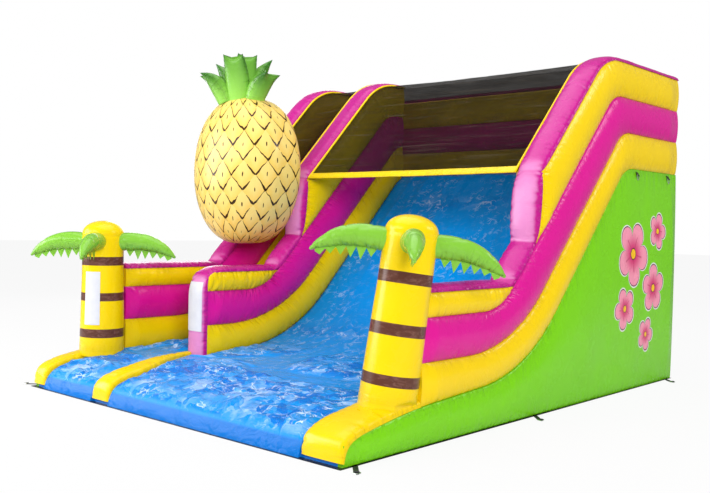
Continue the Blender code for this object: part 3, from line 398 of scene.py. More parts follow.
def normals_of(grid, closed=True):
    """Unit normals of a grid of rings: across both grid directions, facing outward."""
    along = np.gradient(grid, axis=0)
    if closed:
        around = np.roll(grid, -1, 1) - np.roll(grid, 1, 1)
    else:
        around = np.gradient(grid, axis=1)
    normal = np.cross(along, around)
    size = np.linalg.norm(normal, axis=-1, keepdims=True)
    normal = normal / np.maximum(size, 1e-12)
    away = grid - grid.mean(axis=1, keepdims=True)
    return normal * (1.0 if (normal * away).sum() > 0 else -1.0)


def metre_map(grid):
    """Distance along and around a grid of rings, in metres, as its UV map."""
    along = np.linalg.norm(np.diff(grid, axis=0), axis=-1).mean(axis=1)
    ring = np.concatenate([grid, grid[:, :1]], 1)
    around = np.linalg.norm(np.diff(ring, axis=1), axis=-1).mean(axis=0)
    return stacked(running(along)[:, None], running(around)[None, :])


print("angles of a full turn in four:", np.degrees(full_turn(4)))


# %% Grids to faces
def woven(grid, uv=None, marks=None, looped=False):
    """A grid of rings as faces: vertices, face loops, face sizes, UVs and marks.

    Every ring closes on itself, and a face caps each end. In a looped grid the last
    ring repeats the first, and the two are made one.
    """
    rows, columns = grid.shape[:2]
    uv = metre_map(grid) if uv is None else uv
    row = np.arange(rows - 1)[:, None]
    near = np.arange(columns)[None, :]
    far = (near + 1) % columns
    quads = stacked(
        row * columns + near, row * columns + far,
        (row + 1) * columns + far, (row + 1) * columns + near,
    ).reshape(-1, 4)
    corner_uv = np.stack([
        uv[:-1, :-1], uv[:-1, 1:], uv[1:, 1:], uv[1:, :-1]
    ], 2).reshape(-1, 2)
    loops, sizes, loop_uv = [quads.ravel()], [np.full(len(quads), 4)], [corner_uv]
    if not looped:
        first, last = np.arange(columns)[::-1], np.arange(columns) + (rows - 1) * columns
        loops += [first, last]
        sizes += [np.array([columns, columns])]
        loop_uv += [uv[0, :-1][::-1], uv[-1, :-1]]
    marks = np.full(rows * columns, 1.0) if marks is None else marks.ravel()
    kept = (rows - looped) * columns
    return [grid.reshape(-1, 3)[:kept], np.concatenate(loops) % kept, np.concatenate(sizes),
            np.concatenate(loop_uv), marks[:kept]]


def joined(*parts):
    """Several woven parts as one."""
    shift, loops = 0, []
    for part in parts:
        loops.append(part[1] + shift)
        shift += len(part[0])
    return [np.concatenate([part[0] for part in parts]), np.concatenate(loops)] + [
        np.concatenate([part[i] for part in parts]) for i in (2, 3, 4)
    ]


def enclosed(points, loops, sizes):
    """Volume inside closed faces: sum of a . (b x c) / 6 over fans of triangles."""
    starts = np.cumsum(sizes) - sizes
    face = np.repeat(np.arange(len(sizes)), sizes)
    inner = np.ones(len(loops), bool)
    inner[starts] = False
    inner[starts + sizes - 1] = False
    place = np.nonzero(inner)[0]
    a, b, c = points[loops[starts[face[place]]]], points[loops[place]], points[loops[place + 1]]
    return float(np.einsum("ij,ij->i", a, np.cross(b, c)).sum() / 6)


cube = np.array([[x, y, z] for x in (0, 1) for y, z in ((0, 0), (1, 0), (1, 1), (0, 1))], float)
cube_part = woven(cube.reshape(2, 4, 3))
print(f"a woven cube holds {abs(enclosed(*cube_part[:3])):.2f} cubic metres")

# %% Faces to finished pieces
PIECES = {}


def piece(name, part, node, slot, finish, sharp=None, faded=None):
    """Makes the object: faces outward, smooth, riding the slide and replacing its node.

    Faces that meet at more than sharp degrees keep their edge, and
    faded is an attribute that the finish may read: on the pads a
    painted sheen, on the crown a darker green towards the tips.
    """
    points, loops, sizes, uv, marks = part
    starts = np.cumsum(sizes) - sizes
    if enclosed(points, loops, sizes) < 0:
        order = np.repeat(2 * starts + sizes - 1, sizes) - np.arange(len(loops))
        loops, uv = loops[order], uv[order]
    mesh = bpy.data.meshes.new(name)
    mesh.vertices.add(len(points))
    mesh.vertices.foreach_set("co", points.astype(np.float32).ravel())
    mesh.loops.add(len(loops))
    mesh.loops.foreach_set("vertex_index", loops.astype(np.int32))
    mesh.polygons.add(len(sizes))
    mesh.polygons.foreach_set("loop_start", starts.astype(np.int32))
    mesh.polygons.foreach_set("loop_total", sizes.astype(np.int32))
    layer = mesh.uv_layers.new(name="metres")
    layer.data.foreach_set("uv", uv.astype(np.float32).ravel())
    edge = mesh.attributes.new("edge", "FLOAT", "POINT")
    edge.data.foreach_set("value", marks.astype(np.float32))
    if faded is not None:
        sheen_and_tint_layer = mesh.attributes.new("faded", "FLOAT", "POINT")
        sheen_and_tint_layer.data.foreach_set("value", faded.astype(np.float32).ravel())
    mesh.update(calc_edges=True)
    mesh.validate()
    mesh.shade_smooth()
    if sharp is not None:
        mesh.set_sharp_from_angle(angle=math.radians(sharp))
    made = bpy.data.objects.new(name, mesh)
    bpy.context.scene.collection.objects.link(made)
    mesh.materials.append(finish)
    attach(made, "slide")
    if node:
        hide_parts(node)
    PIECES[name] = made
    return made


def padded_piece(name, part, node, slot, finish, fill=1.0, **more):
    """A piece that air or stuffing holds out."""
    made = piece(name, part, node, slot, finish, **more)
    return made


print("attributes of a piece: the map in metres, edge and faded")


# %% Soft round ends
def domed(grid, towards, depth, count=7, power=2.0):
    """A grid whose last ring is closed by a soft round end.

    Ring after ring moves on by depth * share while it shrinks to its own middle by
    (1 - share ** power) ** (1 / power), so the end is a quarter of a super-ellipse.
    """
    middle = grid[-1].mean(axis=0)
    shares = np.sin(np.linspace(0, math.pi / 2, count + 1))[1:]
    size = (1 - np.minimum(shares, 0.9985) ** power) ** (1 / power)
    more = middle + (grid[-1] - middle)[None] * size[:, None, None]
    more = more + np.array(towards) * depth * shares[:, None, None]
    return np.concatenate([grid, more])


FAR_FROM_SEAM = 0.05


def far_marks(grid, edge, far=FAR_FROM_SEAM):
    """Seam distances for a grid that has grown by a soft end."""
    return np.concatenate([edge, np.full((len(grid) - len(edge), edge.shape[1]), far)])


print("rings in a soft end:", len(domed(np.eye(3)[None], (0, 1, 0), 1.0)) - 1)

# %% [markdown]
# ## Finishes
#
# Almost everything here is one cloth: polyester scrim coated with glossy PVC. Up close
# it has a fine scrim grain, shallow slack wrinkles, tight creases beside each seam and
# a double row of stitches. A picture texture could hold all that, but it would blur
# up close and stretch round the bends. Node patterns stay sharp at any distance, so
# each effect is a group that puts out a colour, a mask or a height, and the shader
# itself stays in the material.

# %% Small helpers for node trees
def feed(socket, value):
    """Links an input to another socket, or sets its plain value."""
    if isinstance(value, bpy.types.NodeSocket):
        socket.id_data.links.new(value, socket)
    else:
        socket.default_value = value


def put(tree, kind, inputs=None, **settings):
    """Adds a node, sets its properties and feeds its inputs with values or sockets."""
    made = tree.nodes.new(kind)
    for name, value in settings.items():
        setattr(made, name, value)
    for key, value in (inputs or {}).items():
        feed(made.inputs[key], value)
    return made


def tree_of(*values):
    """The node tree of the first socket among some values."""
    return next(value.id_data for value in values if isinstance(value, bpy.types.NodeSocket))


print("sockets are fed by links or by plain values")


# %% Sums of sockets
def maths(operation, a, b=0.0, c=0.0, clamp=False):
    """The result of a Math node. The commonest three have their own names below."""
    return put(tree_of(a, b, c), "ShaderNodeMath", {0: a, 1: b, 2: c},
               operation=operation, use_clamp=clamp).outputs[0]


def times(a, b):
    """a * b"""
    return maths("MULTIPLY", a, b)


def plus(a, b):
    """a + b"""
    return maths("ADD", a, b)


def minus(a, b):
    """a - b"""
    return maths("SUBTRACT", a, b)


def vectors(operation, a, b):
    """The result of a Vector Math node."""
    return put(tree_of(a, b), "ShaderNodeVectorMath", {0: a, 1: b},
               operation=operation).outputs[0]


def axes_of(vector):
    """A vector's X, Y and Z."""
    return put(vector.id_data, "ShaderNodeSeparateXYZ", {0: vector}).outputs


print("one-word sums: times, plus, minus")


# %% Ramps, mixes and noise
def ramp(value, low, high, bottom=0.0, top=1.0):
    """Eases a value from bottom to top as it passes from low to high."""
    return put(tree_of(value), "ShaderNodeMapRange", {
        "Value": value, "From Min": low, "From Max": high, "To Min": bottom, "To Max": top,
    }, interpolation_type="SMOOTHSTEP").outputs["Result"]


def blended(share, a, b, blend="MIX"):
    """Two colours mixed. Sockets 0, 6 and 7 are a Mix node's share and its colours."""
    return put(tree_of(share, a, b), "ShaderNodeMix", {0: share, 6: a, 7: b},
               data_type="RGBA", blend_type=blend).outputs[2]


def shaded_by(colour, shade):
    """A colour times a grey value."""
    grey = put(tree_of(shade), "ShaderNodeCombineColor",
               {"Red": shade, "Green": shade, "Blue": shade})
    return blended(1.0, colour, grey.outputs[0], "MULTIPLY")


def noise(place, scale, detail=3.0, rough=0.5, warp=0.0, gives="Fac"):
    """Soft noise, with scale in waves per unit of the place."""
    return put(place.id_data, "ShaderNodeTexNoise", {
        "Vector": place, "Scale": scale, "Detail": detail, "Roughness": rough,
        "Distortion": warp,
    }).outputs[gives]


def stretched(vector, *scale):
    """A map multiplied along each of its axes, so that a pattern on it is drawn out."""
    return put(vector.id_data, "ShaderNodeMapping", {"Vector": vector, "Scale": scale}).outputs[0]


print("noise is given in waves per metre, and a ramp eases between its two ends")

# %% Effects: node groups with named inputs and outputs
KINDS = {"colour": "NodeSocketColor", "value": "NodeSocketFloat", "vector": "NodeSocketVector"}


def effect(name, takes, gives):
    """A new node group: its tree, the sockets it takes and the sockets it gives."""
    tree = bpy.data.node_groups.new(name, "ShaderNodeTree")
    for label, kind in takes.items():
        tree.interface.new_socket(name=label, in_out="INPUT", socket_type=KINDS[kind])
    for label, kind in gives.items():
        tree.interface.new_socket(name=label, in_out="OUTPUT", socket_type=KINDS[kind])
    return tree, tree.nodes.new("NodeGroupInput").outputs, tree.nodes.new("NodeGroupOutput").inputs


def use(tree, group, inputs):
    """Places an effect in a tree and returns its outputs."""
    return put(tree, "ShaderNodeGroup", inputs, node_tree=group).outputs


print("kinds of socket an effect can have:", ", ".join(KINDS))

# %% Effect: slack and gathered PVC skin
SKIN, takes, gives = effect(
    "pvc_skin",
    {"Place": "vector", "Map": "vector", "Edge": "value", "Colour": "colour",
     "Tone": "value", "Gather": "value"},
    {"Colour": "colour", "Roughness": "value", "Height": "value"},
)
slack = noise(takes["Place"], 5.0, 4.0, 0.55, 0.6)
broad = noise(takes["Place"], 1.1, 2.0)
grain = noise(stretched(takes["Map"], 420.0, 420.0, 1.0), 1.0, 1.0)
pull = noise(stretched(takes["Map"], 34.0, 5.0, 1.0), 1.0, 3.0, 0.6, 0.35)
near_seam = maths("POWER", 2.718, times(takes["Edge"], -15.0))
creased = ramp(pull, 0.50, 0.70)
gathered = times(times(creased, near_seam), takes["Gather"])
height = plus(times(slack, 0.30), gathered)
height = plus(height, times(grain, 0.015))
feed(gives["Height"], height)
uneven = times(minus(broad, 0.5), takes["Tone"])
shade = plus(1.0, times(uneven, 2.0))
# Darker towards each seam, and darker still within 6 mm of it
shade = minus(shade, times(near_seam, 0.10))
darker_at_seam = ramp(takes["Edge"], 0.0, 0.006, 0.78, 1.0)
shade = times(shade, darker_at_seam)
feed(gives["Colour"], shaded_by(takes["Colour"], shade))
feed(gives["Roughness"], ramp(slack, 0.3, 0.7, 0.20, 0.32))
print("effect:", SKIN.name, "with", len(SKIN.nodes), "nodes")

# %% Effect: a double row of stitches beside a seam
STITCH_PITCH, STITCH_SHARE, THREAD_HALF = 0.009, 0.66, 0.0011
STITCH_ROWS = (0.016, 0.024)

STITCHES, takes, gives = effect(
    "stitches", {"Map": "vector", "Edge": "value"}, {"Thread": "value"}
)
dash = maths("FRACT", times(axes_of(takes["Map"])[0], 1 / STITCH_PITCH))
dash = maths("LESS_THAN", dash, STITCH_SHARE)
rows = []
for distance in STITCH_ROWS:
    off_row = maths("ABSOLUTE", minus(takes["Edge"], distance))
    rows.append(maths("LESS_THAN", off_row, THREAD_HALF))
thread = times(dash, maths("MAXIMUM", rows[0], rows[1]))
feed(gives["Thread"], thread)
print("effect:", STITCHES.name, "with rows at", STITCH_ROWS)

# %% [markdown]
# ## The film of the covers
#
# The film is nearly flat facets between thin creases. Where it lies loose, its colour
# holds a painted reflection of the sky in pale patches and painted shade in darker
# facets; where it is pulled taut it is plain and clear, and where it hangs down the
# front it is painted a darker blue, a painted shade. Voronoi cells have that look: the
# distance to a cell's edge is the height of a facet, a cell's own colour decides its
# painted sky reflection and painted shade, and the edges themselves are thin white
# lines, painted glints. Three sizes of cell are laid over one another, bent by a slow
# noise so that no edge stays straight.

# %% Effect: crumpled glossy film
# For each size of cell: its scale, the weight of its facets, and the width of its painted glint
# lines
FILM_CELLS = ((6.5, 0.55, 0.042), (15.0, 0.35, 0.050), (47.0, 0.10, 0.0))
# Colours for the loose film's facets: a pale painted reflection of the sky, and a darker tint for
# painted shade
PAINTED_SKY_BLUE, FACET_SHADE_TINT = (0.32, 0.54, 0.95, 1.0), (0.4, 0.66, 0.86, 1.0)
# Painted shade: the darker blue where the film hangs down the front, and the white of the painted
# glints
SHADED_APRON_BLUE, GLINT_WHITE = (0.0, 0.155, 0.56, 1.0), (0.74, 0.88, 1.0, 1.0)

CRUMPLE, takes, gives = effect(
    "film_crumple",
    {"Map": "vector", "Colour": "colour", "Taut": "value", "Sky_Reflection": "value"},
    {"Colour": "colour", "Roughness": "value", "Height": "value"},
)
slack = maths("MAXIMUM", minus(1.0, takes["Taut"]), 0.0)
warped = noise(takes["Map"], 4.0, 2.0, gives="Color")
bent = vectors("MULTIPLY", warped, (0.22, 0.22, 0.22))
place = vectors("ADD", stretched(takes["Map"], 1.0, 0.62, 1.0), bent)
height, shine, line = 0.0, 0.0, 0.0
for scale, weight, width in FILM_CELLS:
    cell = {"Vector": place, "Scale": scale}
    to_edge = put(CRUMPLE, "ShaderNodeTexVoronoi", cell, feature="DISTANCE_TO_EDGE")
    to_edge = to_edge.outputs["Distance"]
    height = plus(height, times(to_edge, weight))
    if width:
        # Thin lines along the cell edges: painted glints
        line = maths("MAXIMUM", line, ramp(to_edge, width, 0.4 * width))
    # Each cell's own random value, summed over the sizes as shine, decides its painted sky
    # reflection and its painted shade
    facets = put(CRUMPLE, "ShaderNodeTexVoronoi", cell).outputs["Color"]
    drawn = put(CRUMPLE, "ShaderNodeSeparateColor", {"Color": facets})
    shine = plus(shine, times(drawn.outputs[0], weight))
fine = noise(takes["Map"], 30.0, 4.0, 0.6, 0.8)
height = plus(height, times(fine, 0.22))
height = times(height, maths("MULTIPLY_ADD", slack, 0.75, 0.25))
feed(gives["Height"], height)
feed(gives["Roughness"], ramp(fine, 0.3, 0.7, 0.07, 0.16))
print("film facets in", len(FILM_CELLS), "sizes")

# %% The film's colours, with painted sky reflection, painted shade and painted white glints
# Painted reflection of the sky: pale patches, here and there, on loose film whose facets have a
# high shine
cloudy = ramp(noise(takes["Map"], 2.6, 3.0), 0.38, 0.60, 0.12, 0.80)
sky_reflection = times(times(ramp(shine, 0.42, 0.80), slack), cloudy)
sky_reflection = maths("MULTIPLY", sky_reflection, takes["Sky_Reflection"], clamp=True)
pale = blended(sky_reflection, takes["Colour"], PAINTED_SKY_BLUE)
# Painted shade: facets with a low shine are tinted darker where the film lies loose
facet_shade = blended(1.0, pale, FACET_SHADE_TINT, "MULTIPLY")
shaded = blended(times(ramp(shine, 0.47, 0.30), slack), pale, facet_shade)
# Where Taut goes above 1 the film hangs down the front and is painted the darker apron blue, a
# painted shade
shaded = blended(ramp(takes["Taut"], 1.0, 1.7), shaded, SHADED_APRON_BLUE)
# Thin swirling lines join them; all these lines are painted glints, shown in patches and most where
# the film lies loose
swirl = maths("ABSOLUTE", minus(noise(takes["Map"], 9.0, 3.0, 0.5, 1.4), 0.5))
line = maths("MAXIMUM", times(line, 0.8), ramp(swirl, 0.007, 0.003))
marked = ramp(noise(takes["Map"], 11.0, 2.0), 0.46, 0.60)
here_and_there = ramp(noise(takes["Map"], 2.2, 3.0), 0.42, 0.60, 0.15, 1.0)
marked = times(times(marked, here_and_there), ramp(takes["Taut"], 1.35, 1.0))
line = times(times(line, marked), maths("MULTIPLY_ADD", slack, 0.55, 0.30))
feed(gives["Colour"], blended(line, shaded, GLINT_WHITE))
print("effect:", CRUMPLE.name, "with", len(CRUMPLE.nodes), "nodes")


# %% Materials for the sewn pieces
def blank(name, **sockets):
    """A material whose shader's plain sockets are set by name."""
    made = bpy.data.materials.new(name)
    made.use_nodes = True
    shader = made.node_tree.nodes["Principled BSDF"]
    for key, value in sockets.items():
        shader.inputs[key.replace("_", " ")].default_value = value
    return made, made.node_tree, shader


def surface_inputs(tree):
    """The three things a sewn piece's pattern reads: place, metre map and seam distance."""
    place = tree.nodes.new("ShaderNodeTexCoord").outputs["Object"]
    metres = put(tree, "ShaderNodeUVMap", uv_map="metres").outputs[0]
    edge = put(tree, "ShaderNodeAttribute", attribute_name="edge").outputs["Fac"]
    return place, metres, edge


def bumped(shader, height, strength, distance):
    """Feeds the shader's normal from a height."""
    bump = put(shader.id_data, "ShaderNodeBump", {
        "Height": height, "Strength": strength, "Distance": distance,
    })
    feed(shader.inputs["Normal"], bump.outputs[0])


def pvc(name, colour, tone=0.05, gather=0.7, wrinkle=0.75, coat=0.25, thread=0.85,
        printed=None, fade=None):
    """Glossy coated cloth in one colour, or with a printed colour worked out by nodes."""
    made, tree, shader = blank(name, Coat_Weight=coat, Coat_Roughness=0.20,
                               Specular_IOR_Level=0.15)
    place, metres, edge = surface_inputs(tree)
    base = (*colour, 1.0) if printed is None else printed(place, metres, (*colour, 1.0))
    # fade is a colour laid on by the piece's attribute: on the pads a paler pink where they face
    # forward, a painted sheen; on the crown a darker green towards the tips and the leaf edges
    if fade is not None:
        sheen_and_tint_share = put(tree, "ShaderNodeAttribute", attribute_name="faded").outputs["Fac"]
        base = blended(sheen_and_tint_share, base, (*fade, 1.0))
    skin = use(tree, SKIN, {
        "Place": place, "Map": metres, "Edge": edge, "Colour": base, "Tone": tone,
        "Gather": gather,
    })
    rows = use(tree, STITCHES, {"Map": metres, "Edge": edge})
    darker = blended(1.0, skin["Colour"], (thread, thread, thread, 1.0), "MULTIPLY")
    sewn = blended(rows["Thread"], skin["Colour"], darker)
    feed(shader.inputs["Base Color"], sewn)
    feed(shader.inputs["Roughness"], skin["Roughness"])
    bumped(shader, skin["Height"], wrinkle, 0.012)
    return made


print("every sewn piece reads its place, its map in metres and its seam distance")

# %% The colours of the cloth
YELLOW = (0.86, 0.60, 0.002)
MAGENTA = (0.66, 0.007, 0.27)
GREEN = (0.185, 0.60, 0.006)
LEAF = (0.205, 0.49, 0.040)
BLUE = (0.0, 0.16, 0.66)
yellow_pvc = pvc("yellow_pvc", YELLOW)
magenta_pvc = pvc("magenta_pvc", MAGENTA)
tight_yellow = pvc("tight_yellow_pvc", YELLOW, gather=1.5)
tight_magenta = pvc("tight_magenta_pvc", MAGENTA, gather=1.8)
# The pads' fade colour, a paler pink laid on where they face forward, is a painted sheen
pad_pvc = pvc("pad_pvc", (0.50, 0.010, 0.24), gather=1.2, fade=(0.76, 0.31, 0.60))
green_pvc = pvc("green_pvc", GREEN, wrinkle=0.4, coat=0.25)
leaf_pvc = pvc("leaf_pvc", LEAF, gather=1.4, wrinkle=1.2, coat=0.6)
crown_pvc = pvc("crown_pvc", (0.28, 0.63, 0.08), gather=1.2, coat=0.5, fade=(0.014, 0.13, 0.006))
blue_pvc = pvc("blue_pvc", BLUE)
print("PVC finishes:", [m.name for m in bpy.data.materials if m.name.endswith("_pvc")])


# %% Blue film for the two slide covers
def film(name, colour, sky_reflection_share=1.0):
    """Glossy film, with painted sky reflection and painted shade where it lies loose, plain where
    the attribute says taut.
    """
    made, tree, shader = blank(name, Specular_IOR_Level=0.13, IOR=1.4)
    _, metres, taut = surface_inputs(tree)
    made_of = use(tree, CRUMPLE, {"Map": metres, "Colour": (*colour, 1.0), "Taut": taut,
                                  "Sky_Reflection": sky_reflection_share})
    feed(shader.inputs["Base Color"], made_of["Colour"])
    feed(shader.inputs["Roughness"], made_of["Roughness"])
    bumped(shader, made_of["Height"], 0.9, 0.045)
    return made


FILM_BLUE = (0.0, 0.262, 0.74)
blue_film = film("blue_film", FILM_BLUE)
# The climbing lane's film gets more of the painted sky reflection
lane_film = film("lane_film", FILM_BLUE, sky_reflection_share=1.7)
print("films:", blue_film.name, "and", lane_film.name)


# %% Black netting
def netting(name, colour, alpha):
    """Fine mesh seen from metres away: an even see-through cloth with darker folds."""
    made, tree, shader = blank(name, Roughness=0.9, Specular_IOR_Level=0.02)
    _, metres, _ = surface_inputs(tree)
    folds = noise(metres, 3.0, 3.0, 0.6, 0.8)
    threads = noise(stretched(metres, 300.0, 300.0, 1.0), 1.0, 0.0)
    streak = noise(stretched(metres, 26.0, 1.1, 1.0), 1.0, 3.0, 0.6, 0.5)
    streak = ramp(streak, 0.54, 0.70)
    light = blended(streak, (*colour, 1.0), tuple(5.0 * c for c in colour) + (1.0,))
    feed(shader.inputs["Base Color"], light)
    cover = ramp(folds, 0.25, 0.75, alpha - 0.05, alpha + 0.06)
    cover = maths("MULTIPLY_ADD", streak, 0.14, cover)
    feed(shader.inputs["Alpha"], cover)
    bumped(shader, plus(folds, times(threads, 0.1)), 0.35, 0.01)
    return made


NET_BLACK = (0.010, 0.008, 0.006)
black_net = netting("black_net", NET_BLACK, 0.47)
roof_mesh = netting("roof_mesh", NET_BLACK, 0.66)
print("nets:", black_net.name, "and", roof_mesh.name)


# %% Webbing and steel
def webbing(name, colour, pitch=0.0032):
    """Woven strap: a small chevron of ribs across the metre map."""
    made, tree, shader = blank(name)
    _, metres, _ = surface_inputs(tree)
    length, width, _ = axes_of(metres)
    slanted = plus(length, maths("PINGPONG", width, 0.01))
    rib = maths("SINE", times(slanted, 2 * math.pi / pitch))
    # The ribs' crests are painted lighter and their grooves darker, following the same sine as the
    # bump: painted highlight and shade
    base = shaded_by((*colour, 1.0), ramp(rib, -1.0, 1.0, 0.55, 1.5))
    feed(shader.inputs["Base Color"], base)
    feed(shader.inputs["Roughness"], ramp(rib, -1.0, 1.0, 0.75, 0.5))
    bumped(shader, rib, 0.5, 0.0006)
    return made


def steel(name):
    """Zinc-plated wire: cloudy zinc, fine draw marks and darker worn spots."""
    made, tree, shader = blank(name, Metallic=1.0)
    place = tree.nodes.new("ShaderNodeTexCoord").outputs["Object"]
    cloud = noise(place, 90.0, 4.0, 0.6)
    worn = ramp(noise(place, 35.0, 2.0), 0.58, 0.72)
    colour = blended(cloud, (0.48, 0.49, 0.50, 1.0), (0.72, 0.73, 0.74, 1.0))
    colour = blended(times(worn, 0.5), colour, (0.20, 0.19, 0.18, 1.0))
    feed(shader.inputs["Base Color"], colour)
    feed(shader.inputs["Roughness"], ramp(cloud, 0.3, 0.7, 0.22, 0.42))
    bumped(shader, noise(place, 900.0, 2.0), 0.12, 0.0004)
    return made


black_webbing = webbing("black_webbing", (0.022, 0.022, 0.024))
ring_steel = steel("ring_steel")
print("fittings:", black_webbing.name, "and", ring_steel.name)

# %% [markdown]
# ## The walls' air tubes
#
# A wall is four tubes high. Each one is skin held between two seams, a wall's
# thickness apart, and air pushes it out on both flanks. A cylinder swept along the
# slope would be wrong: the seams are not parallel at the bends, so a tube is wide in
# one place and pinched to nothing in another. Lofting between the two seam lines,
# station by station, follows that by itself.

# %% An air tube between two seams
def headings(line):
    """The direction of a line at each point, as an angle without jumps."""
    return np.unwrap(np.arctan2(*np.gradient(line, axis=0).T[::-1]))


def air_tube(low, high, centre, seed, bulge=0.05, half=14, depth=0.009, reach=0.08):
    """The skin of one tube, as rings along matching stations of two seams.

    Half-width = wall / 2 + swell * sin(pi * share) ** 0.62 - puckers, on both flanks,
    where share runs from the lower seam to the upper one and swell is smaller where
    the tube is thin and near both ends. Returns the rings and each point's distance
    from its seam.
    """
    chord = np.linalg.norm(high - low, axis=1)
    run = lengths((low + high) / 2)
    turn = np.gradient(headings((low + high) / 2), run)
    bend = 1 + 1.1 * np.minimum(np.abs(turn), 1.6)
    shares = (1 - np.cos(np.linspace(0, math.pi, half + 1))) / 2
    swell = np.minimum(bulge, 0.28 * chord)[:, None] * np.sin(math.pi * shares)[None, :] ** 0.62
    from_ends = 0.2 + 0.8 * ramped(run / 0.16)
    from_ends = from_ends * (0.4 + 0.6 * ramped((run[-1] - run) / 0.30))
    swell = swell * from_ends[:, None]
    spine = low[:, None] + (high - low)[:, None] * shares[None, :, None]
    from_low = running(np.hypot(np.diff(swell, axis=1), np.diff(shares) * chord[:, None]))
    from_high = from_low[:, -1:] - from_low
    along = run[:, None]
    flanks = []
    for flank, sign in ((0, 1), (1, -1)):
        own = seed * 10 + flank * 3
        pulled = puckers(along, from_low, own + 1, depth=depth, reach=reach)
        pulled = pulled + puckers(along, from_high, own + 2, depth=depth, reach=reach)
        slack = 0.0022 * field(along / 0.24, shares[None] * 2.2, own) * np.sin(math.pi * shares)
        out = WALL_SEAM / 2 + swell - pulled * bend[:, None] + slack
        flanks.append(with_x(centre + sign * out, spine))
    edge = np.minimum(from_low, from_high)
    rings = np.concatenate([flanks[0], flanks[1][:, ::-1]], 1)
    return rings, np.concatenate([edge, edge[:, ::-1]], 1)


def tube_piece(name, low, high, centre, seed, finish, slot, end_depth=0.0, **sizes):
    """One wall tube, with a soft rear end where a depth is given."""
    rings, edge = air_tube(low, high, centre, seed, **sizes)
    if end_depth:
        rings = domed(rings, (0, 1, 0), end_depth)
        edge = far_marks(rings, edge)
    return padded_piece(name + "_skin", woven(rings, marks=edge), name, slot, finish, sharp=50)


print(f"a tube swells to {WALL_SEAM / 2 + 0.05:.2f} m either side of its wall's middle")

# %% The tubes of the three walls
WALLS = {
    "right": (RIGHT_X, OUTER_FRONT_Y, BACK_Y, False, 0.011),
    "left": (LEFT_X, OUTER_FRONT_Y, BACK_Y, False, 0.014),
    "middle": (MIDDLE_X, MIDDLE_FRONT_Y, MIDDLE_REAR_Y, True, 0.011),
}
END_DEPTH = 0.022


def upper_seams(end, step):
    """The two seams of the upper tube, which grows out of the notch where they part."""
    bend = head(MIDDLE_SEAM)
    slope = evenly(np.vstack([NOTCH, bend[0]]), 5)
    top = np.vstack([bend[-1], [end, MIDDLE_SEAM["high"]]])
    low, high = paired([slope[:3], slope[2:], bend, top], upper_edge(end), step)
    apart = np.maximum(np.linalg.norm(high - low, axis=1), 1e-3)[:, None]
    return low, high + (high - low) * (1e-3 / apart) + (0, 1e-4)


def low_seams(front, capped, step):
    """The seams of the short tube: it thins out where the middle seam meets the low top."""
    y = np.linspace(front, PINCH[0] - 0.004, int((PINCH[0] - front) / step))
    seam = np.vstack([[[front, MIDDLE_SEAM["low"]]], foot(MIDDLE_SEAM)])
    top = np.full(len(y), LOW_TOP_Z)
    if capped:
        inside = np.clip(LOW_CORNER_RADIUS - (y - front), 0, None)
        top -= LOW_CORNER_RADIUS - np.sqrt(LOW_CORNER_RADIUS ** 2 - inside ** 2 + 1e-9)
    return np.stack([y, np.interp(y, seam[:, 0], seam[:, 1])], 1), np.stack([y, top], 1)


for number, (side, (centre, front, rear, capped, step)) in enumerate(WALLS.items()):
    depth = 0.0 if capped else END_DEPTH
    end = rear - depth
    yellow, magenta = (tight_yellow, tight_magenta) if capped else (yellow_pvc, magenta_pvc)
    creases = {"depth": 0.009, "reach": 0.085} if capped else {"depth": 0.0045, "reach": 0.06}
    floor_line = seam_pieces(FLOOR_SEAM, front, end, True)
    lower_line = seam_pieces(LOWER_SEAM, front, end)
    middle_line = seam_pieces(MIDDLE_SEAM, front, end)
    for name, (low, high), seed, finish, slot, own_depth, bulge in (
        ("lower", paired(floor_line, lower_line, step), 11, yellow, "pvc_yellow", depth, 0.05),
        ("middle", paired(lower_line, middle_line, step), 21, magenta, "pvc_magenta", depth, 0.05),
        ("upper", upper_seams(end, step), 31, yellow, "pvc_yellow", depth, 0.05),
        ("low", low_seams(front, capped, step), 41, yellow, "pvc_yellow", 0.0, 0.042),
    ):
        tube_piece(f"{side}_{name}_tube", low, high, centre, seed + number, finish, slot,
                   own_depth, bulge=bulge, **creases)
print("wall tubes:", len(PIECES))

# %% [markdown]
# ## The pads along the free edge
#
# On top of each wall runs one more tube, flat underneath and crowned above. On the
# column in front of each lane it is fuller in the middle and pinched where it kinks.
# Its section is half a super-ellipse, which is flatter on top and rounder at the
# shoulders than a circle, and its crown is a value for every station, so that the pad
# can fatten and thin along the way.

# %% A crowned pad along a path
PAD_POWER = 2.4


def pad_grid(path, centre, half, crown, power=PAD_POWER, around=26):
    """A crowned strip: across = half * cos ** (2 / power), lift = crown * sin ** (2 / power).

    half and crown may change from station to station. The strip's flat back lies on
    the path, and it rises along the path's normal.
    """
    angles = np.linspace(0, math.pi, around + 1)
    half, crown = np.broadcast_to(half, len(path)), np.broadcast_to(crown, len(path))
    across = half[:, None] * powered(np.cos(angles), 2 / power)
    lift = crown[:, None] * powered(np.sin(angles), 2 / power)
    return with_x(np.broadcast_to(centre, len(path))[:, None] + across, off_path(path, lift))


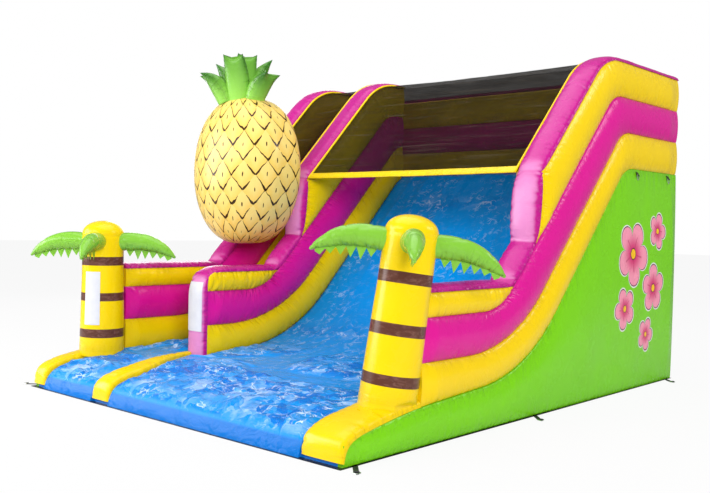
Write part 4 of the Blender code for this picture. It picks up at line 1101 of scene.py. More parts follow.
def gathered_pad(grid, seed, depth=0.007, reach=0.07, spacing=0.055, bend=None):
    """Dents a pad along its normals with the puckers of its two long seams."""
    from_first = running(np.linalg.norm(np.diff(grid, axis=1), axis=-1))
    from_last = from_first[:, -1:] - from_first
    along = lengths(grid.mean(axis=1))[:, None]
    dents = puckers(along, from_first, seed + 1, spacing, depth, reach)
    dents = dents + puckers(along, from_last, seed + 2, spacing, depth, reach)
    if bend is not None:
        dents = dents * bend[:, None]
    slack = 0.0025 * field(along / 0.2, from_first / 0.16, seed + 3)
    moved = grid + normals_of(grid) * (slack - dents)[..., None]
    moved[:, [0, -1]] = grid[:, [0, -1]]
    return moved, np.minimum(from_first, from_last)


def kinks(path):
    """How sharply each station bends, from 0 to about 1, spread over a few centimetres."""
    run = lengths(path)
    turn = np.minimum(np.abs(np.gradient(headings(path), run)) / 6.0, 1.0)
    return 1.6 * softened(np.stack([run, turn], 1), 0.05)[:, 1]


def painted_front_sheen(grid):
    """How much painted sheen each point of a pad gets: most where it faces forward, none above."""
    facing = -normals_of(grid)[..., 1]
    return 0.74 * ramped((facing - 0.69) / 0.27)


print(f"pad section: {2 * PAD_HALF:.2f} m wide, {PAD_CROWN:.3f} m high")

# %% The edge pads of the three walls
PAD_PATHS = {}
for number, (side, (centre, front, rear, capped, step)) in enumerate(WALLS.items()):
    end = rear - 0.004
    path = distinct(np.vstack([low_edge(front, capped), *upper_edge(end)]))
    path = softened(spaced(path, 0.009), 0.055)
    sharp = kinks(path)
    on_column = (path[:, 1] > NOTCH_Z) & (path[:, 1] < COLUMN_TOP_Z)
    share = (path[:, 1] - NOTCH_Z) / (COLUMN_TOP_Z - NOTCH_Z)
    pillow = np.where(on_column, np.sin(math.pi * np.clip(share, 0, 1)) ** 0.7, 0.0)
    crown = 0.058 + 0.026 * pillow - 0.016 * sharp
    half = PAD_HALF + 0.014 * pillow - 0.008 * sharp
    PAD_PATHS[side] = (path, centre, half, crown)
    grid, edge = gathered_pad(pad_grid(path, centre, half, crown), 51 + number,
                              bend=1 + 0.4 * sharp + 0.9 * pillow)
    grid = domed(grid, (0, 1, 0), 0.02)
    edge = far_marks(grid, edge)
    padded_piece(f"{side}_edge_pad", woven(grid, marks=edge), f"{side}_edge_cushion",
                 "pvc_magenta", pad_pvc, sharp=60, faded=painted_front_sheen(grid))
print("edge pads:", {side: len(p[0]) for side, p in PAD_PATHS.items()})

# %% [markdown]
# ## The back wall
#
# Across the back stand three more tubes and a pad, level, between the side walls.
# They use the same two shapes, turned to run along X.

# %% Back wall tubes and pad
def across_back(grid):
    """A grid made along Y at x 0 becomes one along X at the back wall."""
    return np.stack([grid[..., 1], BACK_WALL_Y + grid[..., 0], grid[..., 2]], -1)


back_reach = RIGHT_X - WALL_SEAM / 2 - 0.03
stations = np.linspace(-back_reach, back_reach, 260)


def level_line(z):
    """A level line of stations across the back."""
    return np.stack([stations, np.full(len(stations), z)], 1)


levels = (FLOOR_SEAM["high"], LOWER_SEAM["high"], MIDDLE_SEAM["high"], TOP_Z)
for number, (name, colour, slot) in enumerate((
    ("lower", yellow_pvc, "pvc_yellow"), ("middle", magenta_pvc, "pvc_magenta"),
    ("upper", yellow_pvc, "pvc_yellow"),
)):
    rings, edge = air_tube(level_line(levels[number]), level_line(levels[number + 1]), 0.0,
                           61 + number)
    padded_piece(f"back_{name}_tube_skin", woven(across_back(rings), marks=edge),
                 f"back_{name}_tube", slot, colour, sharp=50)
grid, edge = gathered_pad(pad_grid(level_line(TOP_Z), 0.0, PAD_HALF - 0.01, 0.058), 65)
padded_piece("back_edge_pad", woven(across_back(grid), marks=edge), "back_edge_cushion",
             "pvc_magenta", magenta_pvc, sharp=60)
print("pieces so far:", len(PIECES))

# %% [markdown]
# ## Front noses
#
# In front of each wall lies a yellow nose: a broad low tube that comes down over the
# bed's front to the floor. It is the same crowned strip as the edge pad, wider and
# flatter, and flattest where it meets the floor.

# %% Noses
NOSE_FLOOR_Z, FRONT_EASE, TAPER_START = 0.03, 0.095, 0.28
OUTER_NOSE_X = HALF_WIDTH + 0.01
MIDDLE_NOSE_X = MIDDLE_X + 0.09
OUTER_NOSE_REAR = OUTER_FRONT_Y - GAP
MIDDLE_NOSE_REAR = MIDDLE_FRONT_Y - PAD_CROWN - GAP
NOSES = {
    "right": (OUTER_NOSE_X - 0.41, OUTER_NOSE_X, OUTER_NOSE_REAR),
    "left": (-OUTER_NOSE_X, -OUTER_NOSE_X + 0.21, OUTER_NOSE_REAR),
    "middle": (MIDDLE_NOSE_X - 0.135, MIDDLE_NOSE_X + 0.135, MIDDLE_NOSE_REAR),
}
TIPS = {"middle": (MIDDLE_X - 0.115, MIDDLE_X - 0.025)}


def nose_edges(side, y):
    """A nose's two edges in X along Y: the middle one narrows towards its rear tip."""
    x_from, x_to, rear = NOSES[side]
    tip_from, tip_to = TIPS.get(side, (x_from, x_to))
    start = BED_FRONT_Y + TAPER_START
    share = ramped((y - start) / (rear - start))
    return x_from + (tip_from - x_from) * share, x_to + (tip_to - x_to) * share


def nose_path(rear_y):
    """From the floor up the bed's front, over the shoulder and back along the landing."""
    line = np.vstack([[[BED_FRONT_Y, NOSE_FLOOR_Z]], shoulder(), landing_at(rear_y + 0.5)])
    keep = line[line[:, 0] < rear_y - 1e-6]
    last = np.array([rear_y, np.interp(rear_y, line[1:, 0], line[1:, 1])])
    return spaced(np.vstack([keep, last]), 0.010)


for number, (side, (x_from, x_to, rear)) in enumerate(NOSES.items()):
    path = softened(nose_path(rear), FRONT_EASE)
    run = lengths(path)
    share = np.clip(run / run[-1], 0, 1)
    crown = NOSE_CROWN + 0.014 * np.sin(math.pi * share) ** 0.5
    crown = crown * (0.55 + 0.45 * ramped(run / 0.14))
    first, last = nose_edges(side, path[:, 0])
    crown = crown * (0.45 + 0.55 * (last - first) / (x_to - x_from))
    grid = pad_grid(path, (first + last) / 2, (last - first) / 2, crown, power=3.6, around=38)
    grid, edge = gathered_pad(grid, 71 + number, depth=0.009, reach=0.09)
    padded_piece(f"{side}_nose_skin", woven(grid, marks=edge), f"{side}_nose", "pvc_yellow",
                 yellow_pvc, sharp=60)
print("noses:", {side: round(x[1] - x[0], 2) for side, x in NOSES.items()})

# %% [markdown]
# ## The bed, the ramp and the platform
#
# These three air bodies carry everything and are mostly covered. The bed shows as a
# dark blue layer under the noses. The ramp and the platform are ribbed airbeds: inner
# webs tie the top to the bottom and leave shallow grooves, which the covers bridge.
# A groove is a dent below the walking line, so the body still fits under its cover.

# %% Where the covers' edges run
COVER_CLEARANCE, APRON_REACH = 0.004, 0.014


def cover_edge(nose, wall_x, side):
    """A cover's edge: beside a nose, then, over a short step, beside the wall behind it.

    side is 1 for a cover's left edge and -1 for its right one. Returns X for any Y.
    """
    beside = wall_x + side * (PAD_HALF + COVER_CLEARANCE)
    rear = NOSES[nose][2]
    flank = 1 if side > 0 else 0
    tip = nose_edges(nose, rear)[flank]
    start = rear + (-0.045 if side * (beside - tip) > 0 else 0.002)

    def at(y):
        """Beside the nose by its own line, then over the short step to the wall's."""
        by_nose = nose_edges(nose, y)[flank] + side * COVER_CLEARANCE
        passed = ramped((y - start) / 0.03)
        return by_nose + (beside - by_nose) * passed

    return at


SLIDE_EDGES = cover_edge("middle", MIDDLE_X, 1), cover_edge("right", RIGHT_X, -1)
CLIMB_EDGES = cover_edge("left", LEFT_X, 1), cover_edge("middle", MIDDLE_X, -1)
print("cover edges at the front:", *(f"{at(FRONT_Y):.2f}" for at in CLIMB_EDGES + SLIDE_EDGES))

# %% Landing bed
FLOOR_Z = 0.0033
BLOCK_HALF = CORE_HALF - 0.002
RIB_SPACING = 0.42


def bed_front(reach):
    """The bed's front, bulging forward at the foot where an apron hangs over it."""
    return np.array([
        [BED_FRONT_Y - 2.2 * reach, FLOOR_Z], [BED_FRONT_Y - 1.3 * reach, FRONT_LIP_Z * 0.5],
        [BED_FRONT_Y - 0.6 * reach, FRONT_LIP_Z],
    ])


x = np.linspace(-BLOCK_HALF, BLOCK_HALF, 260)
covered = np.zeros(len(x))
for left_at, right_at in (CLIMB_EDGES, SLIDE_EDGES):
    covered = np.maximum(covered, ramped((x - left_at(FRONT_Y)) / 0.03)
                         * ramped((right_at(FRONT_Y) - x) / 0.03))
rings = []
rear = landing_at(FLOOR_FOOT[0][0])
for place, share in zip(x, covered):
    line = np.vstack([bed_front(APRON_REACH * share), shoulder(24)[1:], rear])
    rings.append(evenly(softened(spaced(line, 0.0125), FRONT_EASE), 90))
rings = np.array(rings)
sag = 0.010 * np.abs(np.sin(math.pi * x / RIB_SPACING))[:, None] ** 0.5 - 0.010
rings[..., 1] += sag * np.clip((rings[..., 1] - 0.10) / 0.1, 0, 1) - 0.002
under = np.stack([rings[:, -1, 0], np.full(len(x), FLOOR_Z)], -1)[:, None]
rings = np.concatenate([rings, under], 1)
padded_piece("landing_bed_skin", woven(with_x(x[:, None], rings)), "landing_bed", "pvc_blue",
             blue_pvc, sharp=50)
print("bed front:", len(rings), "sections")


# %% Ramp and platform
def ribbed_block(line, floor_y, name, node):
    """A block under a walking line, with grooves along it at the rib spacing."""
    rows = np.linspace(-BLOCK_HALF, BLOCK_HALF, 200)
    groove = 0.012 * (1 - np.abs(np.sin(math.pi * rows / RIB_SPACING)) ** 0.6)
    top = spaced(line, 0.04)
    dip = left_normals(top)[None] * groove[:, None, None]
    profile = top[None] - dip - (0.0, 0.001)
    foot_line = np.array([[floor_y[1], FLOOR_Z], [floor_y[0], FLOOR_Z]])
    profile = np.concatenate([profile, np.broadcast_to(foot_line, (len(rows), 2, 2))], 1)
    padded_piece(name, woven(with_x(rows[:, None], profile)), node, "pvc_blue", blue_pvc,
                 sharp=40)


PLATFORM_Z = FLOOR_SEAM["high"]
platform_y = FLOOR_HEAD[-1][0]
ends = (platform_y + GAP, BACK_Y - PANEL_THICKNESS)
ribbed_block(np.vstack([FLOOR_FOOT, FLOOR_HEAD]), (FLOOR_FOOT[0][0], platform_y),
             "ramp_airbed", "ramp_body")
ribbed_block(np.array([[end, PLATFORM_Z] for end in ends]), ends, "platform_airbed",
             "platform_block")
print("airbeds done, pieces so far:", len(PIECES))

# %% [markdown]
# ## The side and back panels
#
# A green panel closes each side from the floor to the walls. It swells a little
# between its seams, and its skin pulls in short creases from the sloping top seam and
# from the floor. A flat face with a wrinkle texture would show a straight outline, so
# the swell and the larger creases are in the mesh.

# %% Floor path shared by the panels and the covers
def floor_path(front_y, end_y):
    """The walking line: landing, foot, slope, head and platform, cut at two places."""
    line = np.vstack([LANDING_START, FLOOR_FOOT, FLOOR_HEAD, [[BACK_Y, FLOOR_SEAM["high"]]]])
    inside = line[(line[:, 0] > front_y + 1e-6) & (line[:, 0] < end_y - 1e-6)]
    first, last = ([y, np.interp(y, line[:, 0], line[:, 1])] for y in (front_y, end_y))
    return np.vstack([first, inside, last])


print(f"walking line: {lengths(floor_path(FRONT_Y, BACK_Y))[-1]:.2f} m")

# %% Side panels
PANELS = {}


def side_panel(side, seed, step):
    """Rings up the panel: outward = half-width + swell * sin(pi * share) ** 0.55 - creases."""
    line = spaced(np.vstack([shoulder(), floor_path(LANDING_START[0] + GAP, BACK_Y)]), step)
    y, top = line[:, :1], line[:, 1:]
    shares = (1 - np.cos(np.linspace(0, math.pi, 61))) / 2
    shares = 0.35 * shares + 0.65 * np.linspace(0, 1, 61)
    fade = np.clip(np.minimum((y - FRONT_Y) / 0.30, (BACK_Y - y) / 0.20 + 0.25), 0, 1)
    z = FLOOR_Z + (top - FLOOR_Z) * shares
    swell = np.minimum(0.05, 0.14 * (top - FLOOR_Z)) * fade * np.sin(math.pi * shares) ** 0.55
    from_floor, from_top = z - FLOOR_Z, (top - z) * math.cos(SLOPE) ** (top > 0.45)
    edge = np.minimum(from_floor, np.minimum(from_top, BACK_Y - y))
    run = lengths(line)[:, None]
    dents = puckers(y, from_floor, seed + 1, 0.075, 0.006, 0.10)
    dents = dents + puckers(run, from_top, seed + 2, 0.065, 0.007, 0.085)
    waves = 0.006 * field(y / 0.55, z / 0.45, seed) + 0.0025 * field(y / 0.17, z / 0.26, seed + 5)
    waves = waves * np.clip(edge / 0.12, 0, 1)
    x = HALF_WIDTH + swell + waves - dents
    outer = stacked(side * x, y, z)
    inner = stacked(side * CORE_HALF, y, np.concatenate([top, z[:, :1]], 1))
    marks = np.concatenate([edge, np.full((len(line), 2), FAR_FROM_SEAM)], 1)
    return np.concatenate([outer, inner], 1), marks


for seed, (side, sign, step) in enumerate((("right", 1, 0.016), ("left", -1, 0.024))):
    PANELS[side] = side_panel(sign, 81 + 7 * seed, step)
print("panel rings:", {side: len(grid) for side, (grid, _) in PANELS.items()})


# %% Finish: plain flowers printed on the side panels
PETAL_RIM, FLOWER_DARK = (0.75, 0.73, 0.72, 1.0), (0.03, 0.010, 0.016, 1.0)
PETAL_HEART, PETAL_TIP = (0.62, 0.03, 0.16, 1.0), (0.87, 0.30, 0.42, 1.0)
PETAL_VEIN, FLOWER_EYE = (0.40, 0.01, 0.09, 1.0), (0.90, 0.52, 0.01, 1.0)
FLOWERS = (
    (1.62, 1.42, 0.33, 0.2), (2.12, 1.05, 0.25, 0.9), (1.45, 0.86, 0.21, 0.5),
    (2.22, 1.66, 0.19, 1.3), (1.98, 0.56, 0.17, 0.1),
)


def flowers(place, metres, base):
    """Five-petalled flowers: petal edge = size * (0.5 + 0.5 * sqrt(|cos(2.5 * angle)|)).

    From the petal's edge inwards come a pale rim, a dark line and the pink petal with
    its vein, and in the middle a dark ring and a yellow eye.
    """
    _, y, z = axes_of(place)
    colour = base
    for centre_y, centre_z, size, turn in FLOWERS:
        dy, dz = minus(y, centre_y), minus(z, centre_z)
        away = maths("SQRT", plus(times(dy, dy), times(dz, dz)))
        angle = plus(maths("ARCTAN2", dz, dy), turn)
        wave = maths("ABSOLUTE", maths("COSINE", times(angle, 2.5)))
        petal = maths("MULTIPLY_ADD", maths("SQRT", wave), 0.5 * size, 0.5 * size)
        inside = minus(petal, away)
        share = maths("DIVIDE", away, size)
        pink = blended(ramp(share, 0.15, 0.75), PETAL_HEART, PETAL_TIP)
        vein = ramp(wave, 0.985, 0.995, 0.0, 0.55)
        vein = times(vein, ramp(share, 0.62, 0.55))
        for mask, paint in (
            (ramp(inside, -0.026, -0.022), PETAL_RIM),
            (ramp(inside, -0.011, -0.008), FLOWER_DARK),
            (ramp(inside, 0.0, 0.003), pink), (vein, PETAL_VEIN),
            (ramp(share, 0.20, 0.18), FLOWER_DARK),
            (ramp(share, 0.165, 0.15), FLOWER_EYE),
        ):
            colour = blended(mask, colour, paint)
    return colour


panel_pvc = pvc("panel_pvc", GREEN, printed=flowers)
for side, (grid, edge) in PANELS.items():
    padded_piece(f"{side}_panel_skin", woven(grid, marks=edge), f"{side}_side_panel",
                 "pvc_green", panel_pvc, sharp=50, fill=0.9)
print("flowers on each side panel:", len(FLOWERS))

# %% Back panel
columns = np.linspace(-BLOCK_HALF, BLOCK_HALF, 200)[:, None]
shares = np.linspace(0, 1, 80)[None]
z = FLOOR_Z + (PLATFORM_Z - GAP - FLOOR_Z) * shares
swell = 0.05 * (1 - np.abs(columns / CORE_HALF) ** 4) * np.sin(math.pi * shares) ** 0.55
edge = np.minimum(z, PLATFORM_Z - z)
dents = puckers(columns, z, 91, 0.075, 0.006, 0.10)
dents = dents + puckers(columns, PLATFORM_Z - z, 92, 0.065, 0.006, 0.08)
waves = 0.006 * field(columns / 0.5, z / 0.5, 93) * np.clip(edge / 0.12, 0, 1)
outer = stacked(columns, BACK_Y - GAP + swell + waves - dents, z)
inner = stacked(
    columns, BACK_Y - PANEL_THICKNESS, np.concatenate([z[:, -1:], z[:, :1]], 1))
marks = np.concatenate([
    np.broadcast_to(edge, outer.shape[:2]), np.full((len(columns), 2), FAR_FROM_SEAM)], 1)
padded_piece("back_panel_skin", woven(np.concatenate([outer, inner], 1), marks=marks),
             "back_panel", "pvc_green", green_pvc, sharp=50, fill=0.9)
print("panels done, pieces so far:", len(PIECES))

# %% [markdown]
# ## The slide covers
#
# Each lane is covered by one loose sheet of blue film, laid up the slope and over the
# front. Film keeps every fold it ever had: it is nearly flat facets between thin
# raised creases. Smooth noise makes soft hills, not folds, so the height here is built
# from the lines where noise crosses zero, raised to a power: (1 - |noise|) ** sharp.
# Stretching the noise along the slope gives the long taut creases there.

# %% Crumpled height of a film cover
def crumple(x, run, seed):
    """Loose folds of three sizes, in metres, bent by a slower noise."""
    wide, small = (x / 0.5, run / 0.5), (x / 0.16, run / 0.16)
    bx = x + 0.10 * field(*wide, seed) + 0.03 * field(*small, seed + 1)
    br = run + 0.10 * field(*wide, seed + 2) + 0.03 * field(*small, seed + 3)
    high = 0.020 * ridges(bx / 0.45, br / 0.30, seed + 4, 3.0)
    high += 0.013 * ridges(bx / 0.20, br / 0.16, seed + 5, 2.6)
    high += 0.009 * ridges(bx / 0.10, br / 0.085, seed + 6, 2.2)
    high += 0.0045 * ridges(bx / 0.055, br / 0.048, seed + 8, 2.0)
    high += 0.012 * (0.5 + 0.5 * field(bx / 0.30, br / 0.24, seed + 7))
    return high


def tension(x, run, seed):
    """Long shallow creases along the slope, with a few small ones across them."""
    bx = x + 0.05 * field(x / 0.4, run / 0.9, seed)
    high = 0.0090 * ridges(bx / 0.17, run / 1.1, seed + 1, 2.4)
    high += 0.0040 * ridges(bx / 0.07, run / 0.40, seed + 2, 2.2)
    high += 0.0050 * ridges(x / 0.24, run / 0.15, seed + 3, 3.0)
    high += 0.0025 * ridges(bx / 0.06, run / 0.07, seed + 4, 2.0)
    return high


print(f"height of one fold: {float(crumple(np.array(0.2), np.array(1.0), 101)) * 1000:.0f} mm")


# %% The two films
CLIMB_COVER_END, UNDER_STEP = -0.95, 4
LOOSE_UNTIL_Y = FLOOR_FOOT[len(FLOOR_FOOT) // 3][0]


def tautness(x, run, y, seed):
    """Where a film is pulled tight: 1 in streaks and on the slope, above 1 where it hangs.

    Also returns how far it lies loose, how far it is past the apron, and the streaks.
    """
    loose = ramped((LOOSE_UNTIL_Y - y) / 0.5)
    apron = ramped((run - 0.08) / 0.20)
    streak = ridges((x - 0.35 * run) / 0.62, run / 1.9, seed + 40, 1.0)
    streak = ramped((streak - 0.78) / 0.12)
    patch = ramped(1.2 * field(x / 0.5, run / 0.35, seed + 41) + 0.1)
    taut = np.clip(streak * loose + (1 - loose) * (1 - 0.65 * patch), 0, 1)
    taut = 1 - (1 - taut) * apron
    # Round the front's curve the film counts as less taut, so its folds stand out more and the
    # finish paints more sky reflection there
    rounded = np.exp(-(((run - 0.27) / 0.10) ** 2))
    # Where it hangs down the front its tautness goes above 1, which the finish paints a darker
    # blue: painted shade
    hanging = ramped((0.17 - run) / 0.09)
    return taut * (1 - 0.6 * rounded) - 0.3 * rounded + hanging, loose, apron, streak


def cover_grid(edges, end_y, seed, across, step):
    """One cover: a grid between its two side edges, raised along its normals.

    The underside has fewer columns and keeps just below the lowest fold near each.
    """
    line = np.vstack([
        bed_front(APRON_REACH), shoulder()[1:], floor_path(LANDING_START[0] + 0.02, end_y)])
    path = softened(spaced(line, step), FRONT_EASE)
    run = lengths(path)[:, None]
    left, right = (edge_at(path[:, :1]) for edge_at in edges)
    shares = np.linspace(0, 1, across + 1)
    x = left + (right - left) * shares
    flat_x = (left[0] + (right[0] - left[0]) * shares)[None]
    taut, loose, apron, streak = tautness(flat_x, run, path[:, :1], seed)
    high = crumple(flat_x, run, seed) * loose * apron * (1 - 0.75 * streak)
    high = high + tension(flat_x, run, seed + 20) * (1 - 0.6 * loose) * apron
    high = high + 0.003 * apron
    high = high * (0.35 + 0.65 * ramped(np.minimum(shares, 1 - shares) * (right - left) / 0.05))
    top = with_x(x, off_path(path, 0.0015 + high))
    low = np.pad(high, ((0, 0), (UNDER_STEP, UNDER_STEP)), mode="edge")
    low = np.min([low[:, i:i + across + 1] for i in range(2 * UNDER_STEP + 1)], axis=0)
    low = np.clip(low[:, ::-UNDER_STEP] - 0.002, GAP, None)
    under = with_x(x[:, ::-UNDER_STEP], off_path(path, low))
    marks = np.concatenate([taut, np.ones(under.shape[:2])], 1)
    return np.concatenate([top, under], 1), marks, (float((right - left).max()), float(run[-1, 0]))


PLATFORM_START = MIDDLE_REAR_Y + COVER_CLEARANCE
grid, marks, flat = cover_grid(SLIDE_EDGES, PLATFORM_START, 101, 196, 0.0125)
slide_film = piece("slide_film", woven(grid, marks=marks), "slide_cover", "film_blue",
                   blue_film, sharp=70)
grid, marks, flat = cover_grid(CLIMB_EDGES, CLIMB_COVER_END, 121, 72, 0.012)
climb_film = piece("climb_film", woven(grid, marks=marks), "climb_cover", "film_blue",
                   lane_film, sharp=70)
print("films:", len(slide_film.data.polygons), "and", len(climb_film.data.polygons), "faces")

# %% Platform mat
mat_reach = RIGHT_X - PAD_HALF - COVER_CLEARANCE
mat_rear = BACK_WALL_Y - WALL_SEAM / 2 - 0.035 - COVER_CLEARANCE
x = np.linspace(-mat_reach, mat_reach, 170)[:, None]
y = np.linspace(PLATFORM_START + GAP, mat_rear, 60)[None]
platform_top = np.interp(y, *np.vstack([FLOOR_HEAD, [[BACK_Y, PLATFORM_Z]]]).T)
rise = 0.006 * ridges(x / 0.4, y / 0.3, 131) + 0.003 * (1 + field(x / 0.2, y / 0.2, 132))
top = stacked(x, y, platform_top + 0.002 + rise)
under = stacked(x, y, platform_top + GAP)[:, ::-1]
mat = piece("platform_sheet", woven(np.concatenate([top, under], 1)), "platform_mat",
            "pvc_blue", blue_pvc, sharp=60)
print(f"platform sheet: {2 * mat_reach:.2f} x {mat_rear - PLATFORM_START:.2f} m")

# %% [markdown]
# ## Climbing steps
#
# The narrow lane is climbed, so its ramp carries a ribbed mat: round bolsters sewn
# across it. Each bolster is a half circle raised on the mat, gathered at its ends.

# %% Steps
STEP_MAT, STEP_RADIUS, STEP_COUNT, STEP_START, STEP_END_MARGIN = 0.02, 0.065, 5, 0.35, 0.53
path = spaced(floor_path(CLIMB_COVER_END + GAP, MIDDLE_REAR_Y), 0.009)
run = lengths(path + left_normals(path) * STEP_MAT)
crests = np.linspace(STEP_START, run[-1] - STEP_END_MARGIN, STEP_COUNT)
nearest = np.abs(run[:, None] - crests[None]).min(axis=1)[:, None]
bolster = np.sqrt(np.clip(STEP_RADIUS ** 2 - nearest ** 2, 0, None))
from_valley = np.abs(nearest - STEP_RADIUS)
inside = WALL_SEAM / 2 + 0.048
x = np.linspace(LEFT_X + inside, MIDDLE_X - inside, 60)
sides = np.clip(np.minimum(x - x[0], x[-1] - x) / 0.05, 0, 1)
end_round = ((1 - (1 - sides) ** 2.2) ** 0.45)[None]
lift = STEP_MAT * (0.4 + 0.6 * end_round) + bolster * end_round
lift = lift - puckers(x[None], from_valley, 141, 0.05, 0.006, 0.04)
top_side = with_x(x[None], off_path(path, lift))
under = with_x(x[[-1, 0]][None], off_path(path, np.full((1, 2), GAP)))
marks = np.broadcast_to(from_valley, (len(path), len(x) + 2))
padded_piece("climbing_mat", woven(np.concatenate([top_side, under], 1), marks=marks),
             "climb_steps", "pvc_yellow", yellow_pvc, sharp=60, fill=0.9)
print("covers, mat and steps done, pieces so far:", len(PIECES))

# %% [markdown]
# ## The canopy
#
# Black netting closes the space over the lanes, sewn between the edge pads, with a
# yellow hem along its lower edge and yellow piping down both sides. Netting seen from
# here is not a grid of holes but an even darkening, so it is a thin sheet with a
# see-through share that changes a little along its folds. It sags between its edges.

# %% Shape of a net and of its hem
HEM_WIDTH, HEM_STEP, HEM_POINTS = 0.085, 0.004, 19
NET_EDGE = distinct(np.vstack(upper_edge(MIDDLE_REAR_Y)[1:]))


def net_grid(path, x_from, x_to, seed, sag=0.022, across=70):
    """A thin closed sheet between two pads: sag * sin(pi * share) plus slow folds."""
    shares = np.linspace(0, 1, across + 1)
    x = (x_from + (x_to - x_from) * shares)[None]
    run = lengths(path)[:, None]
    along = np.clip(run / run[-1], 0, 1)
    down = sag * np.sin(math.pi * shares)[None] * np.sin(math.pi * along) ** 0.5
    down = down + 0.003 * field(x / 0.5, run / 0.14, seed)
    down = down + 0.0015 * field(x / 0.09, run / 0.4, seed + 1)
    down = down * np.minimum(1, 30 * np.minimum(shares, 1 - shares))
    top, under = (with_x(x, off_path(path, lift - down)) for lift in (0.002, 0.0008))
    return np.concatenate([top, under[:, ::-1]], 1)


def hem_grid(x_from, x_to, seed):
    """A folded tape along a net's lower edge: a flat oval section, slightly waved."""
    line = spaced(NET_EDGE, HEM_STEP)[:HEM_POINTS]
    middle, along = line[len(line) // 2], line[-1] - line[0]
    along = along / np.linalg.norm(along)
    normal = np.array([-along[1], along[0]])
    x = np.linspace(x_from, x_to, max(30, int((x_to - x_from) / 0.02)))
    angles = full_turn(24)
    across = HEM_WIDTH / 2 * powered(np.cos(angles), 0.4)
    lift = 0.008 * powered(np.sin(angles), 0.7) + 0.010
    sag = 0.006 * np.sin(math.pi * np.linspace(0, 1, len(x)))
    wave = 0.002 * field(x / 0.16, 0, seed) - sag
    place = middle + along * across[:, None] + normal * lift[:, None]
    place = place[None] + normal * wave[:, None, None]
    marks = np.broadcast_to(HEM_WIDTH / 2 - np.abs(across), (len(x), len(across)))
    return with_x(x[:, None], place), marks


print(f"nets follow {lengths(NET_EDGE)[-1]:.2f} m of the free edge")


# %% Nets with their hems and piping
def cord_grid(line, radius, around=10):
    """A round cord along a line in space: circles across its direction."""
    along = np.gradient(line, axis=0)
    along /= np.linalg.norm(along, axis=1)[:, None]
    side = np.cross(along, (0.0, 0.0, 1.0))
    flat = np.linalg.norm(side, axis=1) < 0.2
    side[flat] = np.cross(along[flat], (1.0, 0.0, 0.0))
    side /= np.linalg.norm(side, axis=1)[:, None]
    up = np.cross(side, along)
    angles = full_turn(around)[None, :, None]
    return line[:, None] + radius * (np.cos(angles) * side[:, None] + np.sin(angles) * up[:, None])


PIPING_RADIUS = 0.012
canopy_path = spaced(NET_EDGE, 0.028)
spans = {
    "slide": (MIDDLE_X + PAD_HALF, RIGHT_X - PAD_HALF, 78),
    "climb": (LEFT_X + PAD_HALF, MIDDLE_X - PAD_HALF, 26),
}
for number, (lane, (x_from, x_to, across)) in enumerate(spans.items()):
    grid = net_grid(canopy_path, x_from, x_to, 151 + number, across=across)
    net = piece(f"{lane}_net", woven(grid), f"{lane}_canopy_net", "mesh_black", black_net)
    grid, marks = hem_grid(x_from, x_to, 155 + number)
    hem = piece(f"{lane}_net_hem", woven(grid, marks=marks), None, "pvc_yellow", yellow_pvc)
    lines = []
    for edge_x in (x_from + 0.008, x_to - 0.008):
        line = softened(spaced(NET_EDGE, 0.02), 0.03)
        line = line + left_normals(line) * PIPING_RADIUS
        lines.append(woven(cord_grid(np.insert(line, 0, edge_x, axis=1), PIPING_RADIUS)))
    piping = piece(f"{lane}_net_piping", joined(*lines), None, "pvc_yellow", yellow_pvc)
print("nets over the lanes:", list(spans))

# %% Welt: a yellow cord along the middle pad's far shoulder, above its column
WELT_ANGLE, WELT_RADIUS = math.radians(50), 0.011
path, centre, half, crown = PAD_PATHS["middle"]
above = (path[:, 1] > COLUMN_TOP_Z + 0.02) & (path[:, 0] < MIDDLE_REAR_Y)
across = half * math.cos(WELT_ANGLE) ** (2 / PAD_POWER)
lift = crown * math.sin(WELT_ANGLE) ** (2 / PAD_POWER)
place = (path + left_normals(path) * lift[:, None])[above][::2]
line = np.column_stack([centre - across[above][::2], place])
piece("middle_pad_welt", woven(cord_grid(line, WELT_RADIUS)), None, "pvc_yellow", yellow_pvc)
print(f"welt along the middle pad: {lengths(line)[-1]:.2f} m")

# %% Roof net
roof_line = np.array([[MIDDLE_REAR_Y + GAP, TOP_Z], [BACK_WALL_Y - PAD_HALF, TOP_Z]])
roof_line = spaced(roof_line, 0.03)
roof_half = RIGHT_X - PAD_HALF
roof = piece("roof_net", woven(net_grid(roof_line, -roof_half, roof_half, 161, 0.03, 110)),
             "roof_canopy_net", "mesh_black", roof_mesh)
print("canopy done, pieces so far:", len(PIECES))

# %% [markdown]
# ## Palms
#
# Each front nose carries a palm: a yellow column with three printed brown bands and
# four stuffed leaves near its top. The column is turned: a radius for every height,
# carried round an axis that leans a little. Its top is an ellipse, so it closes in one
# smooth pole. The bands are part of the print, so they are a mask in the material that
# reads the height from the metre map, not separate rings of cloth.

# %% Finish: yellow column with brown bands
COLUMN_START = -0.06
BANDS = {
    "right": ((0.132, 0.216), (0.504, 0.595), (0.890, 0.978)),
    "left": ((0.134, 0.222), (0.504, 0.587), (0.863, 0.951)),
}


def banded(bands):
    """A print: brown where the height along the column lies in one of the bands."""
    def printed(place, metres, base):
        """Streaky brown over the base colour."""
        height = plus(axes_of(metres)[0], COLUMN_START)
        mask = 0.0
        for low, high in bands:
            off = maths("ABSOLUTE", minus(height, (low + high) / 2))
            inside = ramp(off, (high - low) / 2 - 0.001, (high - low) / 2 + 0.001, 1.0, 0.0)
            mask = maths("MAXIMUM", mask, inside)
        streaks = noise(stretched(metres, 22.0, 9.0, 1.0), 1.0, 4.0, 0.6, 1.5)
        brown = blended(ramp(streaks, 0.45, 0.75),
                        (0.10, 0.034, 0.022, 1.0), (0.20, 0.09, 0.07, 1.0))
        return blended(mask, base, brown)
    return printed


